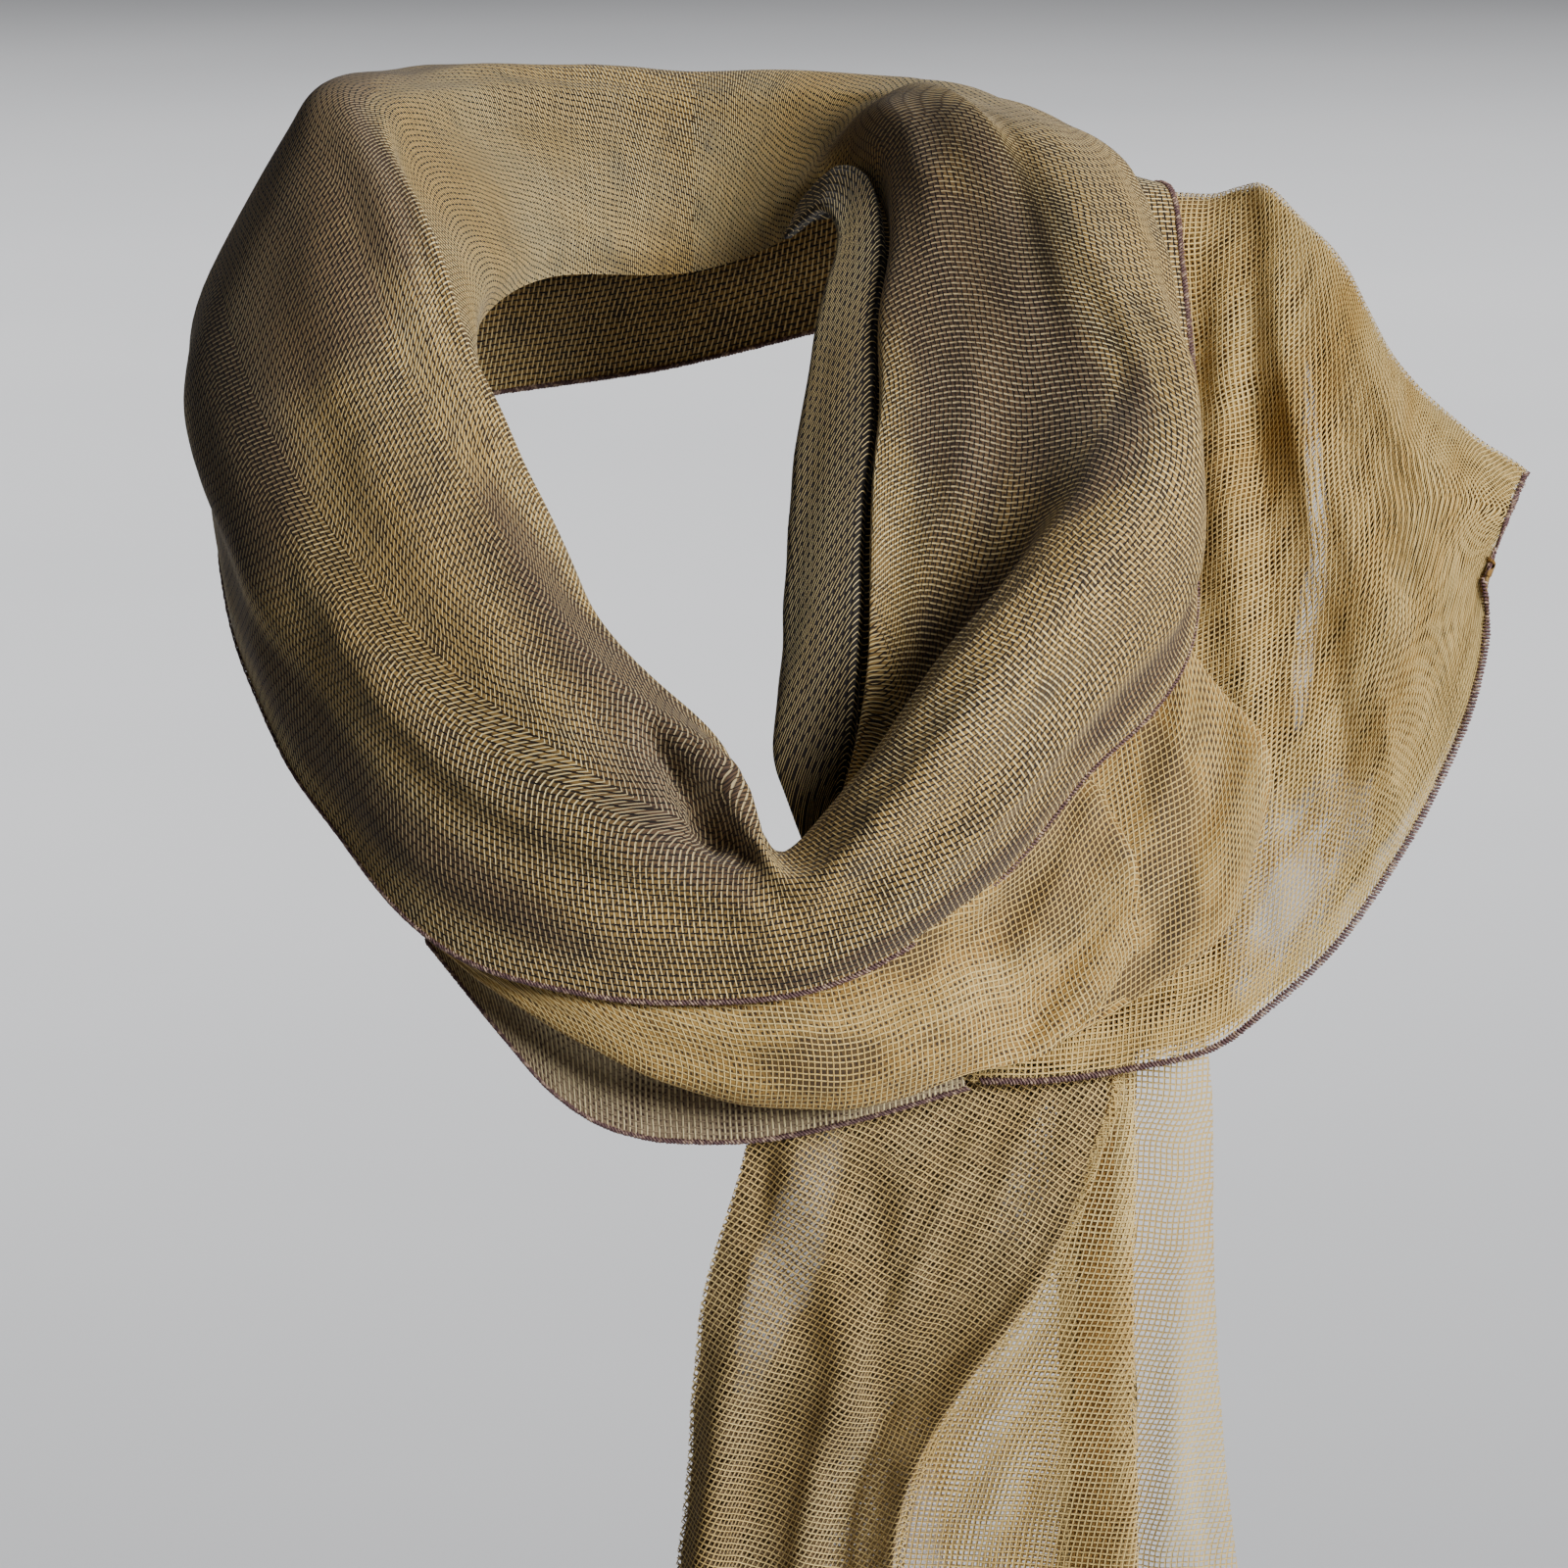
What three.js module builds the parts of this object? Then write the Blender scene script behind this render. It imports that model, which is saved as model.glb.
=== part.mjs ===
// A linen scarf as worn: wound round the neck as a deep cowl, with a hanging tail and one end over a shoulder.
// Millimetres, +Z up, the wearer faces -Y, +X is the viewer's right. The origin is the middle of the neck's base.
import * as THREE from 'three';

const CLOTH = 1.4; // wall of every stretch
const SEAM = 0.3; // gap between stretches that meet, and under what lies on another stretch
const LAID = CLOTH + SEAM; // from the middle of one cloth to the middle of the next one laid on it
const PER_ROW = 3; // grid steps between two table rows
const PER_SPAN = 2; // grid steps between two points of a section
const UP = new THREE.Vector3(0, 0, 1);

const vec = (x, y, z) => new THREE.Vector3(x, y, z);
const between = (a, b, share) => a.clone().lerp(b, share);
const outward = (p) => vec(p.x, p.y, 0).normalize(); // away from the neck's axis, level
const towards = (from, to, length) => to.clone().sub(from).setLength(length);

// ---------------------------------------------------------------- grids

// A smooth curve through the points, sampled the same number of times in each span.
function smoothPath(points, perSpan, closed = false) {
  const curve = new THREE.CatmullRomCurve3(points, closed, 'centripetal');
  const count = (closed ? points.length : points.length - 1) * perSpan;
  return Array.from({ length: count + 1 }, (_, i) => curve.getPoint(i / count));
}

// Sections (each a list of points) become a grid: grid[along][across].
function gridThrough(sections, perRow = PER_ROW, closed = false) {
  const fine = sections.map((section) => smoothPath(section, PER_SPAN));
  const lines = fine[0].map((_, i) => smoothPath(fine.map((section) => section[i]), perRow, closed));
  return lines[0].map((_, row) => lines.map((line) => line[row]));
}

// A grid with the direction its surface faces at each point.
function clothOf(grid, closed = false) {
  const last = grid.length - 1;
  const side = grid[0].length - 1;
  const before = (i) => (closed && i === 0 ? last - 1 : Math.max(i - 1, 0));
  const after = (i) => (closed && i === last ? 1 : Math.min(i + 1, last));
  const normals = grid.map((row, i) => row.map((_, j) => {
    const along = grid[after(i)][j].clone().sub(grid[before(i)][j]);
    const across = row[Math.min(j + 1, side)].clone().sub(row[Math.max(j - 1, 0)]);
    return along.cross(across).normalize();
  }));
  return { grid, normals };
}

// A cloth's points moved off its own surface, to its facing side when the distance is positive.
function moved(cloth, distance) {
  return cloth.grid.map((row, i) => row.map((p, j) => p.clone().addScaledVector(cloth.normals[i][j], distance)));
}

// Rows of a cloth, each end drawn back by half a seam so that the next stretch can start there.
function stretch(cloth, rows) {
  const grid = rows.map((row) => cloth.grid[row]);
  const drawn = (row, next) => row.map((p, j) => p.clone().add(towards(p, next[j], SEAM / 2)));
  const last = grid.length - 1;
  return {
    grid: [drawn(grid[0], grid[1]), ...grid.slice(1, last), drawn(grid[last], grid[last - 1])],
    normals: rows.map((row) => cloth.normals[row]),
  };
}

// A closed wall of even thickness about a cloth.
function wall(name, colour, cloth) {
  const skins = [moved(cloth, CLOTH / 2), moved(cloth, -CLOTH / 2)];
  const rows = cloth.grid.length;
  const cols = cloth.grid[0].length;
  const at = (skin, i, j) => (skin * rows + i) * cols + j;
  const faces = [];
  const quad = (a, b, c, d) => faces.push(a, b, c, a, c, d);
  for (let i = 0; i + 1 < rows; i += 1) {
    for (let j = 0; j + 1 < cols; j += 1) {
      quad(at(0, i, j), at(0, i + 1, j), at(0, i + 1, j + 1), at(0, i, j + 1));
      quad(at(1, i, j), at(1, i, j + 1), at(1, i + 1, j + 1), at(1, i + 1, j));
    }
    quad(at(0, i, 0), at(1, i, 0), at(1, i + 1, 0), at(0, i + 1, 0));
    quad(at(0, i + 1, cols - 1), at(1, i + 1, cols - 1), at(1, i, cols - 1), at(0, i, cols - 1));
  }
  for (let j = 0; j + 1 < cols; j += 1) {
    quad(at(0, 0, j), at(0, 0, j + 1), at(1, 0, j + 1), at(1, 0, j));
    quad(at(0, rows - 1, j), at(1, rows - 1, j), at(1, rows - 1, j + 1), at(0, rows - 1, j + 1));
  }
  const geometry = new THREE.BufferGeometry();
  geometry.setAttribute('position', new THREE.Float32BufferAttribute(skins.flat(2).flatMap((p) => p.toArray()), 3));
  geometry.setIndex(faces);
  geometry.computeVertexNormals();
  const mesh = new THREE.Mesh(geometry, new THREE.MeshStandardMaterial({ color: colour, roughness: 0.85 }));
  mesh.name = name;
  return mesh;
}

// ---------------------------------------------------------------- tables

// A smooth value at a place between a table's rows, for a number or for each number of a point.
function carried(table, key, column, place) {
  const last = table.length - 1;
  const found = table.findIndex((row, i) => i < last && place <= table[i + 1][key]);
  const i = found < 0 ? last - 1 : found;
  const keys = (n) => table[Math.min(Math.max(n, 0), last)][key];
  const share = (place - keys(i)) / (keys(i + 1) - keys(i));
  const value = (n, part) => {
    const held = table[Math.min(Math.max(n, 0), last)][column];
    return part === null ? held : held[part];
  };
  const slope = (n, part) => (value(n + 1, part) - value(n - 1, part)) / (keys(n + 1) - keys(n - 1));
  const at = (part) => {
    const run = keys(i + 1) - keys(i);
    const [s, r] = [share, 1 - share];
    return r * r * (1 + 2 * s) * value(i, part) + s * s * (1 + 2 * r) * value(i + 1, part)
      + s * r * r * run * slope(i, part) - s * s * r * run * slope(i + 1, part);
  };
  return Array.isArray(table[0][column]) ? vec(at(0), at(1), at(2)) : at(null);
}

// The table's rows worked out at every grid row of the band, from the table's first place to its last.
function spread(table, columns) {
  const first = Math.round(table[0].band * PER_ROW);
  const count = Math.round(table[table.length - 1].band * PER_ROW) - first;
  return Array.from({ length: count + 1 }, (_, i) => {
    const place = Math.min((first + i) / PER_ROW, table[table.length - 1].band);
    const row = { gridRow: first + i };
    columns.forEach((column) => { row[column] = carried(table, 'band', column, place); });
    return row;
  });
}

// ---------------------------------------------------------------- the wound band

// One row per section of the band, from the middle of the back round the viewer's left, the chest and the right
// shoulder to the back again. hem: the overlocked edge. crest: the top of the roll. fold: where the cloth turns
// down inside. belly: how far the face stands out. sag: how deep the cloth dips between crest and fold, or arches
// where it is less than 0. gutter: the valley between the hem and the roll.
const BAND = [
  { hem: [0, 130, 30], crest: [0, 92, 127], fold: [0, 66, 84], belly: 18, sag: -4, gutter: 0 },
  { hem: [-90, 104, 18], crest: [-72, 78, 131], fold: [-44, 52, 84], belly: 20, sag: -4, gutter: 0 },
  { hem: [-136, 52, 2], crest: [-103, 38, 127], fold: [-64, 26, 74], belly: 28, sag: -4, gutter: 0 },
  { hem: [-142, 5, -8], crest: [-90, 3, 100], fold: [-64, 0, 48], belly: 36, sag: -4, gutter: 0 },
  { hem: [-132, -38, -38], crest: [-77, -22, 70], fold: [-57, -24, 22], belly: 33, sag: -4, gutter: 0 },
  { hem: [-109, -72, -72], crest: [-62, -44, 42], fold: [-50, -50, -6], belly: 29, sag: -4, gutter: 0 },
  { hem: [-72, -103, -106], crest: [-42, -65, 10], fold: [-37, -74, -36], belly: 24, sag: -4, gutter: 0 },
  { hem: [-28, -119, -117], crest: [-20, -86, -20], fold: [-18, -86, -62], belly: 18, sag: -4, gutter: 0 },
  { hem: [4, -123, -118], crest: [10, -101, -46], fold: [6, -90, -80], belly: 12, sag: -3, gutter: 0 },
  { hem: [32, -124, -115], crest: [27, -114, -75], fold: [26, -96, -94], belly: 8, sag: -1, gutter: 0 },
  { hem: [58, -121, -106], crest: [52, -119, -50], fold: [48, -90, -52], belly: 9, sag: 24, gutter: 0 },
  { hem: [88, -110, -88], crest: [80, -114, -14], fold: [53, -70, -6], belly: 11, sag: 38, gutter: 0 },
  { hem: [118, -92, -57], crest: [104, -102, 8], fold: [54, -52, 25], belly: 12, sag: 32, gutter: 0 },
  { hem: [144, -68, -32], crest: [126, -86, 30], fold: [57, -38, 46], belly: 10, sag: 16, gutter: 0 },
  { hem: [151, -44, 2], crest: [136, -60, 54], fold: [58, -15, 70], belly: 8, sag: 2, gutter: 4 },
  { hem: [151, -20, 40], crest: [124, -32, 86], fold: [61, 10, 94], belly: 9, sag: -6, gutter: 10 },
  { hem: [148, 5, 78], crest: [110, 2, 114], fold: [57, 35, 111], belly: 10, sag: -14, gutter: 16 },
  { hem: [144, 28, 101], crest: [92, 38, 123], fold: [47, 52, 112], belly: 6, sag: -12, gutter: 12 },
  { hem: [116, 84, 72], crest: [62, 76, 127], fold: [30, 60, 96], belly: 10, sag: -6, gutter: 0 },
];
const BROW = 11; // how far the roll stays round on each side of its crest
const BAND_TUCK = 16; // how far the cloth goes on down inside the fold
const CORNER_ROW = 13.67; // where front_roll ends and shoulder_roll starts
const BACK_LEFT_ROW = 1; // back_roll reaches this far round the left
const BACK_RIGHT_ROW = 18; // and starts here at the right
const CURL = { at: [12, -116, -66], wide: 10, deep: 9 }; // the dent beside the notch of the V

function bandSection(row) {
  const hem = vec(...row.hem);
  const crest = vec(...row.crest);
  const fold = vec(...row.fold);
  const out = outward(between(hem, crest, 0.5));
  const belly = between(hem, crest, 0.5).addScaledVector(out, row.belly);
  const gutter = between(hem, belly, 0.5).addScaledVector(out, -row.gutter);
  const dip = between(crest, fold, 0.5).addScaledVector(UP, -row.sag);
  const brow = crest.clone().addScaledVector(out, BROW).add(towards(crest, belly, BROW * 0.6));
  const nape = crest.clone().addScaledVector(out, -BROW * 0.6).add(towards(crest, dip, BROW * 0.6));
  const tuck = fold.clone().addScaledVector(UP, -BAND_TUCK);
  return [hem, gutter, belly, brow, crest, nape, dip, fold, tuck];
}
const TUCK_COLUMN = 8 * PER_SPAN;

// Presses the points near the dent's middle towards the neck.
function pressed(grid, dent) {
  const middle = vec(...dent.at);
  return grid.map((row) => row.map((p) => {
    const share = Math.exp(-p.distanceToSquared(middle) / (2 * dent.wide ** 2));
    return p.clone().addScaledVector(outward(p), -dent.deep * share);
  }));
}

const band = clothOf(pressed(gridThrough(BAND.map(bandSection), PER_ROW, true), CURL), true);
const bandInside = moved(band, -LAID); // under the face of the band
const bandNeckSide = moved(band, LAID); // beside its tuck, which faces the neck
const ROUND = BAND.length * PER_ROW; // grid rows once round

function bandRows(from, to) {
  const first = Math.round(from * PER_ROW);
  const count = Math.round(to * PER_ROW) - first;
  return Array.from({ length: count + 1 }, (_, i) => (first + i) % ROUND);
}

const frontRoll = stretch(band, bandRows(BACK_LEFT_ROW, CORNER_ROW));
const shoulderRoll = stretch(band, bandRows(CORNER_ROW, BACK_RIGHT_ROW));
const backRoll = stretch(band, bandRows(BACK_RIGHT_ROW, BAND.length + BACK_LEFT_ROW));

// ---------------------------------------------------------------- the dark inner turn

// band: the row of the band that it lies against. turn: the edge seen against the neck. deep: how far the cloth
// goes on behind that edge.
const STRAND = [
  { band: 9.67, turn: [38, -90, -88], deep: 4 },
  { band: 10, turn: [31, -91, -69], deep: 6 },
  { band: 11, turn: [25, -85, -50], deep: 10 },
  { band: 12, turn: [27, -71, -28], deep: 12 },
  { band: 13, turn: [29, -52, 2], deep: 12 },
  { band: 14, turn: [32, -32, 32], deep: 12 },
  { band: 15, turn: [38, -8, 64], deep: 12 },
  { band: 16, turn: [44, 14, 86], deep: 12 },
  { band: 17, turn: [38, 32, 92], deep: 10 },
  { band: 17.67, turn: [28, 44, 82], deep: 6 },
];
const STRAND_STEP = 3; // how soon it leaves the band towards its own turn

function strandSection(row) {
  const tuck = bandNeckSide[row.gridRow][TUCK_COLUMN];
  const nearFold = bandNeckSide[row.gridRow][TUCK_COLUMN - 1];
  const leaving = nearFold.clone().add(towards(nearFold, row.turn, STRAND_STEP));
  const behind = row.turn.clone().add(vec(0.3, 0.9, -0.2).multiplyScalar(row.deep));
  return [tuck, leaving, row.turn, behind];
}

const neckStrand = clothOf(gridThrough(spread(STRAND, ['turn', 'deep']).map(strandSection), 1));

// ---------------------------------------------------------------- the gold folds under the front hem

// band: the row of the band that it hangs from. low: the bottom of the fold. belly: how far the cloth stands out
// between hem and bottom. behind: how far the whole section lies behind the band's own cloth.
const SWAG = [
  { band: 5.67, low: [-84, -91, -99], belly: 0, behind: 0 },
  { band: 6.33, low: [-56, -106, -119], belly: 0, behind: 0 },
  { band: 7, low: [-22, -118, -136], belly: 2, behind: 0 },
  { band: 8, low: [8, -122, -146], belly: 4, behind: 0 },
  { band: 9, low: [36, -124, -149], belly: 6, behind: 0 },
  { band: 9.67, low: [62, -122, -147], belly: 6, behind: 0 },
  { band: 10.33, low: [84, -118, -141], belly: 3, behind: 0 },
  { band: 11, low: [104, -111, -136], belly: -3, behind: 0 },
  { band: 11.67, low: [121, -104, -124], belly: 2, behind: 0 },
  { band: 12, low: [129, -97, -110], belly: 8, behind: 0 },
];
const SECOND_FOLD = [
  { band: 11.67, low: [94, -102, -139], belly: -1, behind: 16 },
  { band: 12.33, low: [122, -93.5, -130], belly: -2.5, behind: 14 },
  { band: 12.67, low: [143, -86, -117], belly: 2, behind: 9 },
  { band: 13, low: [158, -79, -103], belly: 7, behind: 4 },
  { band: 13.33, low: [166, -70, -84], belly: 12, behind: 0 },
];
const SWAG_CURL = { most: 6, share: 0.25 }; // how far the bottom rolls under, as a share of the fold's drop
const TURN_RADIUS = 2.6; // of the fold at its right-hand edge
const TURN_STEPS = 3;
const TURN_SWING = [0, 0, 0.3, 1, 1, 1]; // how far each point of the section swings out as it turns
const HEM_CLEAR = 1; // more room under the band's overlocked edge

function swagSection(row) {
  const back = vec(-0.4, 0.9, 0).multiplyScalar(row.behind);
  const [top, under, hem] = [2, 1, 0].map((column) => bandInside[row.gridRow][column].clone().add(back));
  const out = outward(between(hem, row.low, 0.5));
  const belly = between(hem, row.low, 0.5).addScaledVector(out, row.belly);
  const roll = Math.min(SWAG_CURL.most, SWAG_CURL.share * hem.distanceTo(row.low));
  const curl = row.low.clone().addScaledVector(out, -roll).addScaledVector(UP, 0.6 * roll);
  return [top, under, hem.addScaledVector(out, -HEM_CLEAR), belly, row.low, curl];
}

// The section's copies on a half circle behind it, where the cloth turns back under itself.
function turnedBack(section) {
  return Array.from({ length: TURN_STEPS }, (_, i) => {
    const angle = Math.PI * (i + 1) / TURN_STEPS;
    const back = vec(-0.4, 1, 0).multiplyScalar(TURN_RADIUS * (1 - Math.cos(angle)));
    const swing = vec(TURN_RADIUS * Math.sin(angle), 0, 0);
    return section.map((p, j) => p.clone().add(back).addScaledVector(swing, TURN_SWING[j]));
  });
}

function hangingFold(table) {
  const sections = spread(table, ['low', 'belly', 'behind']).map(swagSection);
  return clothOf(gridThrough([...sections, ...turnedBack(sections[sections.length - 1])], 1));
}

const goldSwag = hangingFold(SWAG);
const secondFold = hangingFold(SECOND_FOLD);

// ---------------------------------------------------------------- the grey-purple layer

// band: the row of the band that it hangs from, behind the swag. low: its overlocked edge.
const UNDER = [
  { band: 5.67, low: [-77, -88, -108] },
  { band: 6.33, low: [-54, -100, -134] },
  { band: 6.67, low: [-40, -105, -149] },
  { band: 7, low: [-26, -108, -158] },
  { band: 7.33, low: [-11, -110, -162] },
  { band: 8.33, low: [20, -112, -162] },
  { band: 9.33, low: [51, -110, -156] },
  { band: 10.33, low: [82, -105, -148] },
];
const UNDER_HOLLOW = 6.5; // how far it hangs back from a straight line, clear of the swag's rolled bottom
const swagInside = moved(goldSwag, LAID); // the swag's sections run down, so this side faces the wearer

function underSection(row) {
  const behindSwag = swagInside[row.gridRow - Math.round(SWAG[0].band * PER_ROW)];
  const [top, under, hem] = [0, 2, 4].map((column) => behindSwag[column].clone());
  const inward = outward(hem).negate();
  const middle = between(hem, row.low, 0.5).addScaledVector(inward, UNDER_HOLLOW);
  return [top, under, hem.addScaledVector(inward, HEM_CLEAR), middle, row.low];
}

const underLayer = clothOf(gridThrough(spread(UNDER, ['low']).map(underSection), 1));

// ---------------------------------------------------------------- the end thrown over the shoulder

// top: on the shoulder. low: the overlocked bottom edge. belly: how far the cloth stands out between them.
// over: how much of the back drop this section has, 1 for all of it.
const VEIL = [
  { top: [156, 30, 98], low: [106, -92, -149], belly: 9, over: 1 },
  { top: [165, 26, 101], low: [130, -86, -147], belly: 11, over: 1 },
  { top: [172, 21, 101], low: [154, -78, -143], belly: 12, over: 0.9 },
  { top: [180, 15, 96], low: [171, -70, -133], belly: 14, over: 0.7 },
  { top: [190, 8, 86], low: [194, -64, -112], belly: 14, over: 0.4 },
  { top: [202, 1, 68], low: [213, -56, -85], belly: 12, over: 0.2 },
  { top: [214, -4, 49], low: [231, -46, -49], belly: 7, over: 0.1 },
  { top: [231, -10, 32], low: [237, -38, -24], belly: 2, over: 0.1 },
  { top: [250, -14, 18], low: [236, -32, -10], belly: 0, over: 0.1 },
];
const VEIL_START = { laid: [17.33, 16.67, 15.67, 14.67], free: [[138, -46, -14], [82, -97, -148]] };
const BACK_DROP = vec(-6, 46, -52); // from the top of the shoulder to the end of the veil behind it

function veilStart() {
  const laid = VEIL_START.laid.map((row) => bandInside[Math.round(row * PER_ROW)][1].clone().add(vec(-1, 1.5, 0)));
  return [...laid, ...VEIL_START.free.map((p) => vec(...p))];
}

function veilSection(row) {
  const top = vec(...row.top);
  const low = vec(...row.low);
  const face = [0.25, 0.5, 0.75].map((share) => {
    const stand = row.belly * Math.sin(Math.PI * share);
    return between(top, low, share).add(vec(0.4, -0.9, 0).multiplyScalar(stand));
  });
  return [top.clone().addScaledVector(BACK_DROP, row.over), top, ...face, low];
}

const shoulderVeil = clothOf(gridThrough([veilStart(), ...VEIL.map(veilSection)]));

// ---------------------------------------------------------------- the hanging tail

// left: the selvedge. ridge: the fold that ends the front half. y: how far forward its left side hangs. slant: how
// much further back its ridge lies. wave: how deep its soft folds are.
const TAIL_FRONT = [
  { z: -84, y: -83, slant: 0, left: 34, ridge: 58, wave: 0.5 },
  { z: -106, y: -87, slant: 6, left: 33, ridge: 86, wave: 0.5 },
  { z: -128, y: -95, slant: 18, left: 29, ridge: 114, wave: 1 },
  { z: -150, y: -108.3, slant: 27, left: 21, ridge: 128, wave: 1 },
  { z: -172, y: -110, slant: 15, left: 15, ridge: 121, wave: 3 },
  { z: -205, y: -112, slant: 4, left: 5, ridge: 106, wave: 6 },
  { z: -235, y: -112, slant: 0, left: 1, ridge: 84, wave: 7 },
  { z: -265, y: -109, slant: 0, left: -1, ridge: 68, wave: 8 },
  { z: -300, y: -106, slant: 0, left: -4, ridge: 62, wave: 8 },
  { z: -370, y: -103, slant: 0, left: -7, ridge: 60, wave: 9 },
  { z: -440, y: -101, slant: 0, left: -9, ridge: 58, wave: 9 },
  { z: -510, y: -100, slant: 0, left: -10, ridge: 58, wave: 9 },
];

function tailFrontSection(row) {
  const wide = row.ridge - row.left;
  const at = (share, forward) => vec(row.left + wide * share, row.y + row.slant * share - forward * row.wave, row.z);
  return [
    at(0, -0.5), at(0.12, 0.4), at(0.35, -0.3), at(0.55, 0.4), at(0.75, -0.4), at(0.95, 1), at(1, 0.6), at(0.97, -0.2),
  ];
}

const tailFront = clothOf(gridThrough(TAIL_FRONT.map(tailFrontSection)));

// left: its hidden edge. pleat: the middle of the upright pleat. right: the far selvedge. y: how far forward.
const TAIL_BACK = [
  { z: -128, y: -66, left: 70, pleat: 122, right: 152 },
  { z: -160, y: -74, left: 70, pleat: 121, right: 155 },
  { z: -205, y: -94, left: 56, pleat: 120, right: 155 },
  { z: -260, y: -104, left: 32, pleat: 121, right: 158 },
  { z: -300, y: -101.6, left: 24, pleat: 122, right: 163 },
  { z: -370, y: -98.8, left: 22, pleat: 124, right: 168 },
  { z: -440, y: -96.7, left: 21, pleat: 125, right: 171 },
  { z: -510, y: -95.7, left: 20, pleat: 126, right: 173 },
];
const PLEAT = { wide: 22, rise: 4 }; // how wide its three layers lie on each other, and how far apart

function tailBackSection(row) {
  const onPleat = (share, layer) => vec(row.pleat + PLEAT.wide * share, row.y - PLEAT.rise * layer, row.z);
  const flat = (from, to, share, forward) => vec(from + (to - from) * share, row.y - forward, row.z);
  return [
    flat(row.left, row.pleat, 0, 0), flat(row.left, row.pleat, 0.3, -2), flat(row.left, row.pleat, 0.65, 1),
    onPleat(0.4, 2), onPleat(0.5, 1.5), onPleat(0, 1), onPleat(-0.5, 0.6), onPleat(-0.4, 0), onPleat(0.3, -0.5),
    flat(row.pleat, row.right, 0.7, 1), flat(row.pleat, row.right, 1, -3),
  ];
}

const tailBack = clothOf(gridThrough(TAIL_BACK.map(tailBackSection)));

// ---------------------------------------------------------------- the scarf

const DARK = '#7a6440';
const DEEP = '#4a3c2c';
const GREY = '#6d6058';
const GOLD = '#b08a45';
const scarf = new THREE.Group();
scarf.add(
  wall('front_roll', DARK, frontRoll),
  wall('shoulder_roll', DARK, shoulderRoll),
  wall('back_roll', DARK, backRoll),
  wall('neck_strand', DEEP, neckStrand),
  wall('gold_swag', GOLD, goldSwag),
  wall('second_fold', GOLD, secondFold),
  wall('under_layer', GREY, underLayer),
  wall('shoulder_veil', GOLD, shoulderVeil),
  wall('tail_front', GOLD, tailFront),
  wall('tail_back', GOLD, tailBack),
);
export default scarf;
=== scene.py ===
# %% [markdown]
# A linen gauze scarf, as worn. It is wound round a neck as a deep cowl, one end lies over a shoulder
# and the other hangs down the front. The real thing is one long piece of open plain weave, brown along
# one side and gold along the other, with an overlocked edge. Each stretch that shows is one thin sheet.

# %% The imported model
import bpy
import math
import numpy as np
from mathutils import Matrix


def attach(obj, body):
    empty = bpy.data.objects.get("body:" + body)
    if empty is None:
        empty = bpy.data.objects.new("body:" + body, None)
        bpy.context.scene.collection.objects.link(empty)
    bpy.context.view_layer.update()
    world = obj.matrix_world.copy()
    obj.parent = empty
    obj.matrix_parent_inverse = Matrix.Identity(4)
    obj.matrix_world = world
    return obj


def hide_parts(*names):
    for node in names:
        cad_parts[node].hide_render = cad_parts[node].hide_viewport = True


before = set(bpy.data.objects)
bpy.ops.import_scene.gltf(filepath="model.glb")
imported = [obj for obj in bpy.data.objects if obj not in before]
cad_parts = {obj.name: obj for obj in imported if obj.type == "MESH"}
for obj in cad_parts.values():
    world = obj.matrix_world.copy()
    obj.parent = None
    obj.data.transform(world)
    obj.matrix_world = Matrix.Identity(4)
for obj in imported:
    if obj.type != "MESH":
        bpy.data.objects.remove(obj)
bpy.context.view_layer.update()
MM = 0.001

# %% [markdown]
# The camera stands straight in front of the wearer, a little above the chest, and far enough away for
# the long lens to keep the shape calm. The floor is wide and pale, so that the loose weave has something
# light and even behind it.

# %% Camera and floor
LOOK_AT = np.array([28.0, -90.0, -60.0]) * MM
CAMERA_AWAY = 2.2
CAMERA_UP = math.radians(12)
VIEW_WIDTH = 0.457

camera_data = bpy.data.cameras.new("camera")
camera_data.angle = 2 * math.atan(VIEW_WIDTH / 2 / CAMERA_AWAY)
camera = bpy.data.objects.new("camera", camera_data)
bpy.context.collection.objects.link(camera)
camera.location = LOOK_AT + CAMERA_AWAY * np.array([0, -math.cos(CAMERA_UP), math.sin(CAMERA_UP)])
camera.rotation_euler = (math.radians(90) - CAMERA_UP, 0, 0)
bpy.context.scene.camera = camera

FLOOR_DROP = 1.1
FLOOR_SIZE = 60.0
bpy.ops.object.select_all(action="DESELECT")
bpy.ops.mesh.primitive_plane_add(size=FLOOR_SIZE, location=(0, 0, -FLOOR_DROP))
floor = bpy.context.object
floor.name = "floor"
bpy.ops.object.transform_apply(location=True)

# %% [markdown]
# The light is one broad window high on the viewer's right, a much weaker one on the left that keeps the
# shaded side readable, a weak one from behind that shines through the loose layers, and a soft sky. A
# wide light over the far floor keeps what stands behind the cloth pale and even.

# %% Light
def window(name, place, size, power, aim):
    light = bpy.data.lights.new(name, "AREA")
    light.size = size
    light.energy = power
    lamp = bpy.data.objects.new(name, light)
    bpy.context.collection.objects.link(lamp)
    lamp.location = place
    way = np.array(aim) - np.array(place)
    level = math.hypot(way[0], way[1])
    lamp.rotation_euler = (math.pi / 2 + math.atan2(way[2], level), 0, math.atan2(-way[0], way[1]))
    return lamp


window("window_right", (1.62, -1.45, 0.8), size=1.0, power=86, aim=LOOK_AT)
window("window_left", (-1.8, -1.4, 0.3), size=1.4, power=0.8, aim=LOOK_AT)
window("window_back", (0.9, 1.6, 1.4), size=1.2, power=4, aim=LOOK_AT)
floor_lamp = window("floor_light", (0, 6.5, 5.0), size=9.0, power=470, aim=(0, 6.5001, -1.0))
floor_lamp.data.spread = math.radians(70)
print("lights:", [lamp.name for lamp in bpy.data.lights])

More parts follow.
